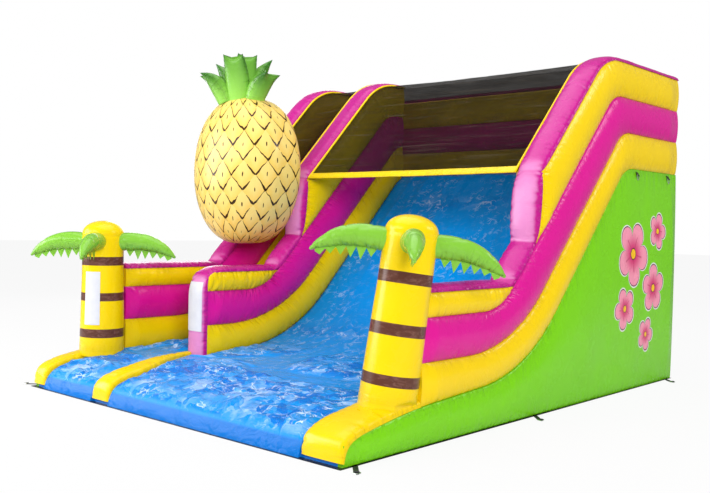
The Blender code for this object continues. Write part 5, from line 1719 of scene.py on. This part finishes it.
column_pvc = {
    side: pvc(f"{side}_column_pvc", YELLOW, gather=0.7, wrinkle=0.35, printed=banded(bands))
    for side, bands in BANDS.items()
}
print("bands on each palm:", {side: len(bands) for side, bands in BANDS.items()})

# %% The columns
PALM_BASE_R, PALM_TOP_R, PALM_STRAIGHT, PALM_DOME = 0.222, 0.206, 0.55, 0.145
LEAF_BELOW_TOP = 0.215
PALMS = {
    "right": {"x": HALF_WIDTH - 0.18, "y": -2.03, "height": 1.41, "lean": (0.09, 0.165)},
    "left": {"x": -(HALF_WIDTH - 0.195), "y": -2.09, "height": 1.315, "lean": (0.0, 0.0)},
}
AZIMUTHS = np.radians([42, 132, 222, 312])


def palm_frame(place):
    """The palm's foot and its three directions, its own up leaning as it should."""
    shelf = np.vstack([shoulder(), [landing_at(0.0)]])
    foot_z = float(np.interp(place["y"], shelf[:, 0], shelf[:, 1]))
    up = np.array([*place["lean"], place["height"]])
    up = up / np.linalg.norm(up)
    axis = np.cross((0.0, 0.0, 1.0), up)
    sine, cosine = np.linalg.norm(axis), up[2]
    turn = np.eye(3)
    if sine > 1e-9:
        axis = axis / sine
        cross = np.array([[0, -axis[2], axis[1]], [axis[2], 0, -axis[0]], [-axis[1], axis[0], 0]])
        turn = np.eye(3) + sine * cross + (1 - cosine) * cross @ cross
    return np.array([place["x"], place["y"], foot_z + NOSE_CROWN]), turn


def column_radius(height, top):
    """Base radius narrowing to the top radius, then a near ellipse closes the dome."""
    body = np.interp(height, (0.0, top - PALM_STRAIGHT), (PALM_BASE_R, PALM_TOP_R))
    dome = np.clip((height - (top - PALM_DOME)) / PALM_DOME, 0, 1)
    return body * np.sqrt(np.clip(1 - dome ** 2.3, 0, 1))


def column_grid(top, seed, side, reach, around=96):
    """Rings up the column: radius - puckers at the foot + a slow unevenness.

    Below a line that rises from the nose's outer edge, reach metres out, the skin is
    pulled in, so that the foot stands on the nose.
    """
    straight = np.arange(COLUMN_START, top - PALM_DOME, 0.012)
    dome = top - PALM_DOME + PALM_DOME * np.sin(np.linspace(0, math.pi / 2, 26))[1:-1]
    height = np.concatenate([straight, dome, [top - 1e-5]])[:, None]
    angles = full_turn(around)[None]
    away = np.abs(height - 0.02)
    dents = puckers(angles * PALM_BASE_R + 5.0, away, seed, 0.05, 0.005, 0.06)
    uneven = 0.0022 * field(angles * 2.4, height / 0.30, seed + 1)
    seam = 0.004 * np.exp(-((height - (top - PALM_DOME - 0.01)) / 0.012) ** 2)
    fit = np.clip((top - height) / 0.1, 0, 1)
    radius = column_radius(height, top) + (uneven - dents - seam) * fit
    x, y, z = np.broadcast_arrays(radius * np.cos(angles), radius * np.sin(angles), height)
    over = np.clip(side * x - reach - 0.9 * np.clip(z, 0, None), 0, None)
    return np.stack([x - side * over, y, z], -1), np.broadcast_to(away, x.shape)


print("palm heights:", {side: place["height"] for side, place in PALMS.items()})

# %% The leaves
LEAF_REACH, LEAF_TIP = 0.72, 0.03
TOOTH_DROPS, TOOTH_RISE, TOOTH_STEPS = (0.65, 1.0, 0.9, 0.7, 0.5, 0.4), 0.45, 16


def leaf_grid(seed):
    """A stuffed horn with a curled tip, creased across and pinched by its lower seam.

    Its spine runs out from the column, up a little, then over and down.
    """
    shares = np.linspace(0, 1, 64)
    start = PALM_TOP_R * 0.80
    up = 0.014 * np.sin(math.pi * shares) - 0.135 * shares ** 3
    spine = np.stack([start + (LEAF_REACH - start) * shares, up], 1)
    radius = (0.018 + 0.076 * (1 - shares ** 2.8) ** 0.8)[:, None]
    angles = full_turn(40)
    run = lengths(spine)[:, None]
    low_seam = radius * np.abs((angles + 1.5 * math.pi) % (2 * math.pi) - math.pi)
    dents = puckers(run, low_seam, seed, 0.042, 0.008, 0.055)
    crossing = ridges(run / 0.10 + 0.15 * np.sin(angles), 0.6 * np.cos(angles) + seed, seed, 5.0)
    size = radius * (1.0 - 0.05 * np.cos(2 * angles)) - dents - 0.008 * crossing * (radius / 0.09)
    place = off_path(spine, 0.94 * size * np.sin(angles))
    grid = stacked(place[..., 0], size * np.cos(angles), place[..., 1])
    tip = spine[-1] - spine[-2]
    tip = tip / np.linalg.norm(tip)
    grid = domed(grid, (tip[0], 0.0, tip[1]), LEAF_TIP)
    return grid, far_marks(grid, low_seam, LEAF_TIP), spine, radius[:, 0]


def fringe_grid(spine, radius, depth=0.095):
    """A flat strip below the leaf whose lower edge runs zigzag, both faces and a rim."""
    teeth = len(TOOTH_DROPS)
    shares = np.linspace(0.0, 1.0, len(spine))
    places = np.linspace(0.14, 0.97, teeth * TOOTH_STEPS + 1)
    phase = np.linspace(0, teeth, teeth * TOOTH_STEPS + 1)
    number = np.minimum(np.floor(phase), teeth - 1)
    part = phase - number
    tooth = np.where(part < TOOTH_RISE, part / TOOTH_RISE, (1 - part) / (1 - TOOTH_RISE))
    drop = 0.018 + depth * np.array(TOOTH_DROPS)[number.astype(int)] * tooth
    x = np.interp(places, shares, spine[:, 0])
    z = np.interp(places, shares, spine[:, 1] - radius * 0.80)
    rows = np.linspace(0, 1, 7)
    sway = 0.010 * field(places[:, None] * 9, rows[None] * 1.2, 7) * rows[None]
    face = stacked(x[:, None], sway, z[:, None] - drop[:, None] * rows[None])
    thin = np.array([0.0, 0.0012, 0.0])
    return np.concatenate([face + thin, (face - thin)[:, ::-1]], 1)


def placed(grid, origin, turn, lift=0.0, azimuth=0.0):
    """Turns a grid round the palm's axis, raises it and puts it in place."""
    return (grid @ turned_about_z(azimuth).T + (0, 0, lift)) @ turn.T + origin


print("leaf directions:", np.degrees(AZIMUTHS))

# %% Make both palms
for number, (side, place) in enumerate(PALMS.items()):
    origin, turn = palm_frame(place)
    sign = 1 if side == "right" else -1
    grid, away = column_grid(place["height"], 171 + number, sign, HALF_WIDTH - abs(place["x"]))
    padded_piece(f"{side}_palm_trunk", woven(placed(grid, origin, turn), marks=away),
                 f"{side}_palm_column", "pvc_yellow", column_pvc[side])
    for leaf, azimuth in enumerate(AZIMUTHS, 1):
        horn, marks, spine, radius = leaf_grid(180 + 10 * number + leaf)
        lift = place["height"] - LEAF_BELOW_TOP
        teeth = fringe_grid(spine, radius)
        padded_piece(f"{side}_palm_frond_{leaf}", joined(
            woven(placed(horn, origin, turn, lift, azimuth), marks=marks),
            woven(placed(teeth, origin, turn, lift, azimuth)),
        ), f"{side}_palm_leaf_{leaf}", "leaf_green", leaf_pvc, sharp=50, fill=0.95)
print("palms done, pieces so far:", len(PIECES))

# %% [markdown]
# ## The fruit
#
# A big stuffed fruit stands between the two columns of the climbing lane, with its
# flat back pressed against them. It is a stack of rings: half ellipses in front, squarer
# ones behind. Its skin is printed with tapering brown strokes that make a net of
# scales, and a seed mark in each. The strokes come from two families of diagonals in
# the metre map; a mask that changes along each scale thins them to a point.

# %% Finish: printed fruit skin
FRUIT_ROUND, SCALE_HEIGHT = 14, 0.32


def scales(place, metres, base):
    """Diagonal strokes that taper off, a seed in each scale and a deeper tone above each stroke."""
    wobble = vectors("MULTIPLY", noise(metres, 3.0, 1.0, gives="Color"), (0.05, 0.22, 0.0))
    height, around, _ = axes_of(vectors("ADD", metres, wobble))
    height = times(height, 1 / SCALE_HEIGHT)
    fa = maths("FRACT", plus(height, around))
    fb = maths("FRACT", minus(height, around))
    strokes = 0.0
    uneven = noise(stretched(metres, 9.0, 2.0, 1.0), 1.0, 2.0)
    for across, along in ((fa, fb), (fb, fa)):
        thin = ramp(uneven, 0.38, 0.62, 0.80, 1.20)
        taper = times(ramp(along, 0.03, 0.95, 0.052, 0.010), thin)
        from_line = maths("MINIMUM", across, minus(1.0, across))
        inside = maths("LESS_THAN", from_line, taper)
        gap = maths("LESS_THAN", along, ramp(uneven, 0.38, 0.58, 0.62, 1.0))
        strokes = maths("MAXIMUM", strokes, times(inside, gap))
    da = minus(fa, 0.52)
    db = minus(fb, 0.52)
    tall = plus(da, db)
    wide = minus(da, db)
    oval = plus(times(tall, tall), times(times(wide, wide), 9.0))
    seed = maths("LESS_THAN", oval, ramp(uneven, 0.40, 0.60, 0.012, 0.034))
    deeper = ramp(maths("MINIMUM", fa, fb), 0.0, 0.5, 0.55, 0.0)
    toned = blended(deeper, base, (0.84, 0.50, 0.06, 1.0))
    return blended(maths("MAXIMUM", strokes, seed), toned, (0.045, 0.020, 0.006, 1.0))


fruit_pvc = pvc("fruit_pvc", (0.85, 0.63, 0.18), gather=0.4, wrinkle=0.3, printed=scales)
print("scales round the fruit:", FRUIT_ROUND)

# %% Fruit body
FRUIT_X, FRUIT_Y = (LEFT_X + MIDDLE_X) / 2, -0.62
FRUIT_WIDTH, FRUIT_FRONT, FRUIT_REAR, FRUIT_BACK_POWER = 1.29, 0.42, 0.43, 5.0
FRUIT_BOTTOM_Z, FRUIT_TOP_Z, FRUIT_RINGS, FRUIT_AROUND = 1.43, 3.06, 150, 180

angle = math.pi * np.linspace(0.0, 1.0, FRUIT_RINGS)[:, None]
turns = full_turn(FRUIT_AROUND)[None]
size = np.sin(angle) ** 0.85
z = FRUIT_BOTTOM_Z + (FRUIT_TOP_Z - FRUIT_BOTTOM_Z) * (1 - np.cos(angle)) / 2
cosine, sine = np.cos(turns), np.sin(turns)
square = 2 / FRUIT_BACK_POWER
behind = sine > 0
across = np.where(behind, powered(cosine, square), cosine)
squarer = FRUIT_REAR * size ** 0.45 * np.abs(sine) ** square
depth = np.where(behind, squarer, FRUIT_FRONT * size * sine)
depth = depth * np.clip(size / 0.12, 0, 1)
uneven = 0.006 * field(turns * 1.5, angle * 2.0, 201)
ends = puckers(turns * 0.25 + 3.0, 0.8 * np.minimum(angle, math.pi - angle), 202, 0.10, 0.012, 0.16)
scale = 1 + (uneven - ends) * np.clip(size, 0, 1)
grid = stacked(
    FRUIT_X + FRUIT_WIDTH / 2 * size * across * scale, FRUIT_Y + depth * scale, z)
meridian = lengths(grid[:, 3 * FRUIT_AROUND // 4])[:, None]
widest = grid[FRUIT_RINGS // 2]
girth = lengths(np.vstack([widest, widest[:1]]))
around_count = (FRUIT_ROUND * girth / girth[-1])[None]
fruit_map = stacked(meridian, around_count)
padded_piece("fruit_skin", woven(grid, uv=fruit_map), "fruit_body", "fruit_yellow", fruit_pvc)
print(f"fruit {grid[..., 0].max() - grid[..., 0].min():.2f} m wide")

# %% Crown leaves
CROWN_LEAVES, CROWN_LEAF_R, CROWN_RINGS, CROWN_AROUND = 7, 0.122, 44, 36
root = np.array([FRUIT_X, FRUIT_Y, FRUIT_TOP_Z - 0.01])


def crown_leaf(number):
    """A stubby tube bending outward, pressed flat at its end into a two-cornered tip."""
    azimuth = 2 * math.pi * number / (CROWN_LEAVES - 1) + 0.22 * math.sin(2.4 * number + 0.5)
    outward = np.array([math.cos(azimuth), math.sin(azimuth), 0.0])
    aside = np.array([-math.sin(azimuth), math.cos(azimuth), 0.0])
    lean = math.radians((66, 36)[number % 2])
    length = (0.40, 0.49)[number % 2] * (1 + 0.06 * math.sin(1.7 * number))
    spread = (0.17, 0.09)[number % 2]
    if number == CROWN_LEAVES - 1:
        outward, aside = np.array([0.94, -0.34, 0.0]), np.array([0.34, 0.94, 0.0])
        lean, length, spread = math.radians(24), 0.52, 0.0
    shares = np.linspace(0, 1, CROWN_RINGS)[:, None]
    bend = lean * (0.30 + 0.85 * shares ** 1.4)
    up = np.array([0, 0, 1.0])
    along = outward * np.sin(bend) + up * np.cos(bend)
    normal = outward * np.cos(bend) - up * np.sin(bend)
    first = root + outward * spread - (0, 0, CROWN_LEAF_R * 0.5)
    steps = along * length / (len(shares) - 1)
    spine = first + np.concatenate([np.zeros((1, 3)), np.cumsum(steps[:-1], axis=0)])
    width = CROWN_LEAF_R * (0.92 + 0.16 * np.sin(math.pi * shares))
    depth = 0.8 * np.sqrt(np.clip(1 - shares ** 2.4, 0, 1)) + 0.004
    turns = full_turn(CROWN_AROUND)[None]
    side, lift = np.cos(turns), np.sin(turns)
    edge = width * np.minimum(np.abs(turns % math.pi), math.pi - np.abs(turns % math.pi))
    dents = puckers(shares * length, edge, 210 + number, 0.045, 0.007, 0.05)
    flat = powered(lift, 0.8) * depth
    size = np.maximum(width - dents * np.clip(width / 0.08, 0, 1), 1e-4)
    grid = spine[:, None] + size[..., None] * (
        side[..., None] * aside + flat[..., None] * normal[:, None])
    corners = (0.058 * side ** 2 - 0.025) * shares ** 4
    return woven(grid + corners[..., None] * along[:, None], marks=edge)


toward_tip = eased(np.linspace(0, 1, CROWN_RINGS))[:, None]
darker = toward_tip * (0.55 + 0.40 * np.cos(full_turn(CROWN_AROUND))[None] ** 4)
padded_piece("crown_leaves", joined(*[crown_leaf(n) for n in range(CROWN_LEAVES)]),
             "fruit_crown", "leaf_green", crown_pvc, fill=0.95,
             faded=np.tile(darker.ravel(), CROWN_LEAVES))
print("fruit and crown done, pieces so far:", len(PIECES))

# %% [markdown]
# ## Ground sheet, webbing and rings
#
# The slide stands on a black ground sheet with webbing tabs, and each tab's end is
# sewn round the bar of a steel ring that a peg or a rope goes through. A strap is a
# narrow outline with the same shape all across its width, so one outline and a width
# make it. The rings already have their right shape in the CAD model. They stay, and
# only get their finish.

# %% Ground sheet
SHEET_HALF, SHEET_LONG, SHEET_THICKNESS = HALF_WIDTH + 0.02, BODY_LENGTH / 2 - 0.01, 0.003
x = np.linspace(-SHEET_HALF, SHEET_HALF, 160)[:, None]
y = np.linspace(-SHEET_LONG, SHEET_LONG, 200)[None]
top = stacked(x, y, SHEET_THICKNESS)
under = stacked(x, y, 0.0)[:, ::-1]
sheet_finish = pvc("black_sheet", (0.014, 0.015, 0.018), coat=0.1, gather=0.3)
ground = piece("ground_cloth", woven(np.concatenate([top, under], 1)), "ground_sheet",
               "ground_sheet_black", sheet_finish, sharp=60)
print(f"ground sheet: {2 * SHEET_HALF:.2f} x {2 * SHEET_LONG:.2f} m")

# %% Webbing tabs with their loops
TAB_WIDTH, TAB_REACH, TAB_ANGLE, WEB_THICKNESS = 0.040, 0.17, math.radians(45), 0.003
BASE_TAB_Y, UPPER_TAB_Y = (-2.60, -0.22, 2.60), (1.72, 2.50)
LOOP_INNER, LOOP_WALL = 0.0048, 0.003
LOOP_OUTER = LOOP_INNER + LOOP_WALL


def strap_part(root_x, length, sink=0.0):
    """A strap from root_x to a loop at root_x + length, as rows across its width."""
    thickness, centre = WEB_THICKNESS, root_x + length
    outer = np.linspace(-2.2, 2.2, 40)
    inner = np.linspace(2.5, -2.5, 40)
    loop = np.stack([centre + LOOP_OUTER * np.cos(outer), LOOP_OUTER * np.sin(outer)], 1)
    bore = np.stack([centre + LOOP_INNER * np.cos(inner), LOOP_INNER * np.sin(inner)], 1)
    low, high = -LOOP_OUTER - sink, -LOOP_OUTER - sink + thickness
    near = centre - 2.5 * LOOP_OUTER
    under = evenly(np.array([[root_x, low], [near, -LOOP_OUTER]]), 20)[:-1]
    over = evenly(np.array([[near, -LOOP_OUTER + thickness], [root_x, high]]), 20)
    neck = np.array([[centre - 1.5 * LOOP_OUTER, -LOOP_OUTER + thickness * 1.2]])
    outline = np.vstack([under, loop, bore, neck, over])
    across = np.linspace(-TAB_WIDTH / 2, TAB_WIDTH / 2, 9)
    return stacked(outline[None, :, 0], across[:, None], outline[None, :, 1])


def upper_frame(side, y):
    """Where an upper tab hangs: its own +X points down the panel."""
    down = np.array([[0, 0, 1], [0, 1, 0], [-1, 0, 0]], float)
    face = np.diag([side, side, 1.0])
    return face @ down, np.array([side * (HALF_WIDTH + 0.030), y, PLATFORM_Z - 0.016])


base_parts, upper_parts = [], []
for side in (1, -1):
    about = turned_about_z(-TAB_ANGLE if side > 0 else math.pi + TAB_ANGLE)
    for y in BASE_TAB_Y:
        strap = strap_part(-TAB_WIDTH, TAB_WIDTH + TAB_REACH) @ about.T
        base_parts.append(woven(strap + (side * SHEET_HALF, y, LOOP_OUTER)))
    for y in UPPER_TAB_Y:
        down, origin = upper_frame(side, y)
        upper_parts.append(woven(strap_part(0.0, 0.045, sink=0.028) @ down.T + origin))
straps, _ = (
    piece(name, joined(*parts), None, "ground_sheet_black", black_webbing, sharp=40)
    for name, parts in (("base_straps", base_parts), ("upper_straps", upper_parts))
)
print("straps:", len(base_parts), "at the base and", len(upper_parts), "above")

# %% The rings' finish
for name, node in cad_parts.items():
    if "_ring_" in name:
        node.data.materials.clear()
        node.data.materials.append(ring_steel)
print("steel rings:", sum("_ring_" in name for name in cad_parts))

# %% [markdown]
# ## Inflation sleeve and label patches
#
# At the back a cloth sleeve takes the blower's nozzle; it is tied round it, so its
# free end is gathered. Two white label patches are sewn on, one on the left palm and
# one on the middle wall's front. They are left bare. Each patch is cut from the very
# surface under it, a millimetre proud, so it follows every swell.

# %% Sleeve
SLEEVE_X, SLEEVE_Z, SLEEVE_R, SLEEVE_LENGTH, SLEEVE_WALL = -1.10, 0.30, 0.11, 0.32, 0.003
run = np.linspace(0, SLEEVE_LENGTH, 60)[:, None]
turns = full_turn(96)[None]
taper = 1 - 0.06 * run / SLEEVE_LENGTH
pleats = 0.006 * np.cos(14 * turns + 2 * field(turns * 2, run / 0.1, 231)) * eased(
    np.clip((run - 0.10) / 0.22, 0, 1))
slump = 0.004 * field(turns * 1.3, run / 0.12, 232)
radius = SLEEVE_R * taper - 0.010 + pleats + slump
outer, inner = (
    stacked(SLEEVE_X + r * np.cos(turns), BACK_Y - 0.02 + run, SLEEVE_Z + r * np.sin(turns))
    for r in (radius, radius - SLEEVE_WALL)
)
ring = np.concatenate([outer, inner[::-1]]).transpose(1, 0, 2)
sleeve = piece("blower_sleeve", woven(np.concatenate([ring, ring[:1]]), looped=True),
               "inflation_sleeve", "pvc_yellow", yellow_pvc, sharp=60)
print(f"sleeve girth {2 * math.pi * SLEEVE_R:.2f} m")


# %% Bare label patches
def label_finish():
    """White coated cloth with a faint grain and soft grey folds."""
    made, tree, shader = blank("label_white", Roughness=0.35)
    place, metres, _ = surface_inputs(tree)
    cloth = noise(stretched(metres, 300.0, 300.0, 1.0), 1.0, 1.0)
    fold = noise(place, 14.0, 3.0)
    feed(shader.inputs["Base Color"],
         blended(fold, (0.70, 0.70, 0.73, 1.0), (0.58, 0.58, 0.64, 1.0)))
    bumped(shader, plus(fold, times(cloth, 0.1)), 0.3, 0.004)
    return made


PATCH_THICKNESS, PATCH_SINK = 0.0015, 0.004
PALM_PATCH_Z, PALM_PATCH_TURN, PALM_PATCH_WIDTH = (0.266, 0.800), (-83, -39), 0.17
WALL_PATCH_Z, WALL_PATCH_COLUMNS = (0.56, 1.06), slice(30, 91)
label_white = label_finish()


def slab(face, normal, lift=0.0012):
    """A closed patch on a surface: the surface moved out, and an underside sunk into it."""
    top = face + normal * (lift + PATCH_THICKNESS)
    return np.concatenate([top, (face + normal * (lift - PATCH_SINK))[:, ::-1]], 1)


origin, turn = palm_frame(PALMS["left"])
height = np.linspace(*PALM_PATCH_Z, 60)[:, None]
angles = np.radians(np.linspace(*PALM_PATCH_TURN, 24))[None]
radius = column_radius(height, PALMS["left"]["height"]) + 0.002
face = stacked(radius * np.cos(angles), radius * np.sin(angles), height)
normal = stacked(np.cos(angles), np.sin(angles), 0 * height)
patch = piece("palm_label", woven(placed(slab(face, normal), origin, turn)), None,
              "pvc_yellow", label_white, sharp=40)

path, centre, half, crown = PAD_PATHS["middle"]
rows = (path[:, 1] > WALL_PATCH_Z[0]) & (path[:, 1] < WALL_PATCH_Z[1])
rows = rows & (path[:, 0] < MIDDLE_FRONT_Y + 0.01)
grid = pad_grid(path[rows], centre, half[rows], crown[rows], around=120)
face = grid[:, WALL_PATCH_COLUMNS]
normal = normals_of(grid, closed=False)[:, WALL_PATCH_COLUMNS]
if normal[..., 1].mean() > 0:
    normal = -normal
patch = piece("wall_label", woven(slab(face, normal, lift=0.003)), None, "pvc_magenta",
              label_white, sharp=40)
width = float(np.linalg.norm(np.diff(face[0], axis=0), axis=1).sum())
print("all pieces:", len(PIECES))
left_over = [n for n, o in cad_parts.items() if not o.hide_render and "_ring_" not in n]
print("CAD nodes still showing apart from the rings:", left_over)

# %% [markdown]
# ## Floor, light and background
#
# The photo is cut out on white, under a broad soft sky. A plain white world lights the
# slide evenly, one lamp hangs overhead, and the others stand far off on all sides, so
# that every side keeps its shape and the tubes show soft highlights. The floor is a
# plain pale sheet. Its colour for the camera is mixed towards white by Is Camera Ray,
# which keeps the slide's shadow and leaves the light on the slide alone.

# %% Floor
FLOOR_HALF, FLOOR_DROP, FLOOR_WHITE = 60.0, 0.0005, 0.92
corners = [(x, y, -FLOOR_DROP) for x, y in ((-FLOOR_HALF, -FLOOR_HALF), (FLOOR_HALF, -FLOOR_HALF),
                                            (FLOOR_HALF, FLOOR_HALF), (-FLOOR_HALF, FLOOR_HALF))]
floor_mesh = bpy.data.meshes.new("floor")
floor_mesh.from_pydata(corners, [], [(0, 1, 2, 3)])
floor = bpy.data.objects.new("floor", floor_mesh)
bpy.context.scene.collection.objects.link(floor)
floor_finish, tree, shader = blank("floor_white", Roughness=0.9, Specular_IOR_Level=0.1)
shader.inputs["Base Color"].default_value = (0.72, 0.72, 0.73, 1.0)
rays = tree.nodes.new("ShaderNodeLightPath")
white = put(tree, "ShaderNodeEmission", {"Color": (1.0, 1.0, 1.0, 1.0), "Strength": 1.0})
seen = times(rays.outputs["Is Camera Ray"], FLOOR_WHITE)
mix = put(tree, "ShaderNodeMixShader", {0: seen, 1: shader.outputs[0], 2: white.outputs[0]})
output = next(n for n in tree.nodes if n.type == "OUTPUT_MATERIAL")
feed(output.inputs["Surface"], mix.outputs[0])
floor.data.materials.append(floor_finish)
print(f"floor: {2 * FLOOR_HALF:.0f} m square")

# %% World
world = bpy.data.worlds.new("studio")
bpy.context.scene.world = world
world.use_nodes = True
tree = world.node_tree
tree.nodes.clear()
rays = tree.nodes.new("ShaderNodeLightPath")
plain = put(tree, "ShaderNodeBackground", {"Color": (0.97, 0.98, 1.0, 1.0), "Strength": 0.27})
bright = put(tree, "ShaderNodeBackground", {"Color": (1.0, 1.0, 1.0, 1.0), "Strength": 1.0})
mix = put(tree, "ShaderNodeMixShader", {
    0: rays.outputs["Is Camera Ray"], 1: plain.outputs[0], 2: bright.outputs[0]})
output = tree.nodes.new("ShaderNodeOutputWorld")
feed(output.inputs["Surface"], mix.outputs[0])
print("world light:", plain.inputs["Strength"].default_value)


# %% Lamps
def lamp(name, place, towards, size, watts):
    """A soft rectangular lamp, wide by high, at a place and turned towards a point."""
    data = bpy.data.lights.new(name, "AREA")
    data.shape, data.energy = "RECTANGLE", watts
    data.size, data.size_y = size
    made = bpy.data.objects.new(name, data)
    bpy.context.scene.collection.objects.link(made)
    back = np.array(place, float) - np.array(towards, float)
    back /= np.linalg.norm(back)
    side = np.cross((0.0, 0.0, 1.0), back)
    side /= np.linalg.norm(side)
    turned = np.eye(4)
    turned[:3] = np.stack([side, np.cross(back, side), back, place], 1)
    made.matrix_world = Matrix(turned.tolist())


for lamp_row in (
    ("sky_panel", (0.0, -1.0, 8.5), (0.0, 0.0, 1.5), (8.0, 8.0), 380),
    ("camera_side", (19.0, -14.0, 8.0), (0.5, -0.5, 1.2), (10.0, 8.0), 3800),
    ("front_wide", (-1.7, -9.5, 5.5), (-0.3, -1.0, 1.0), (7.0, 3.0), 275),
    ("left_tall", (-7.0, -7.5, 3.6), (-0.3, -1.0, 1.2), (6.0, 5.0), 560),
    ("behind_left", (-8.5, 6.0, 4.5), (-0.5, -1.0, 0.8), (6.0, 4.0), 230),
    ("behind_right", (9.5, 5.5, 8.0), (2.0, 1.0, 2.4), (5.0, 2.5), 260),
):
    lamp(*lamp_row)
# This lamp would glare off the flat tops of the pads
bpy.data.objects["camera_side"].visible_glossy = False
bpy.context.scene.view_settings.view_transform = "Standard"
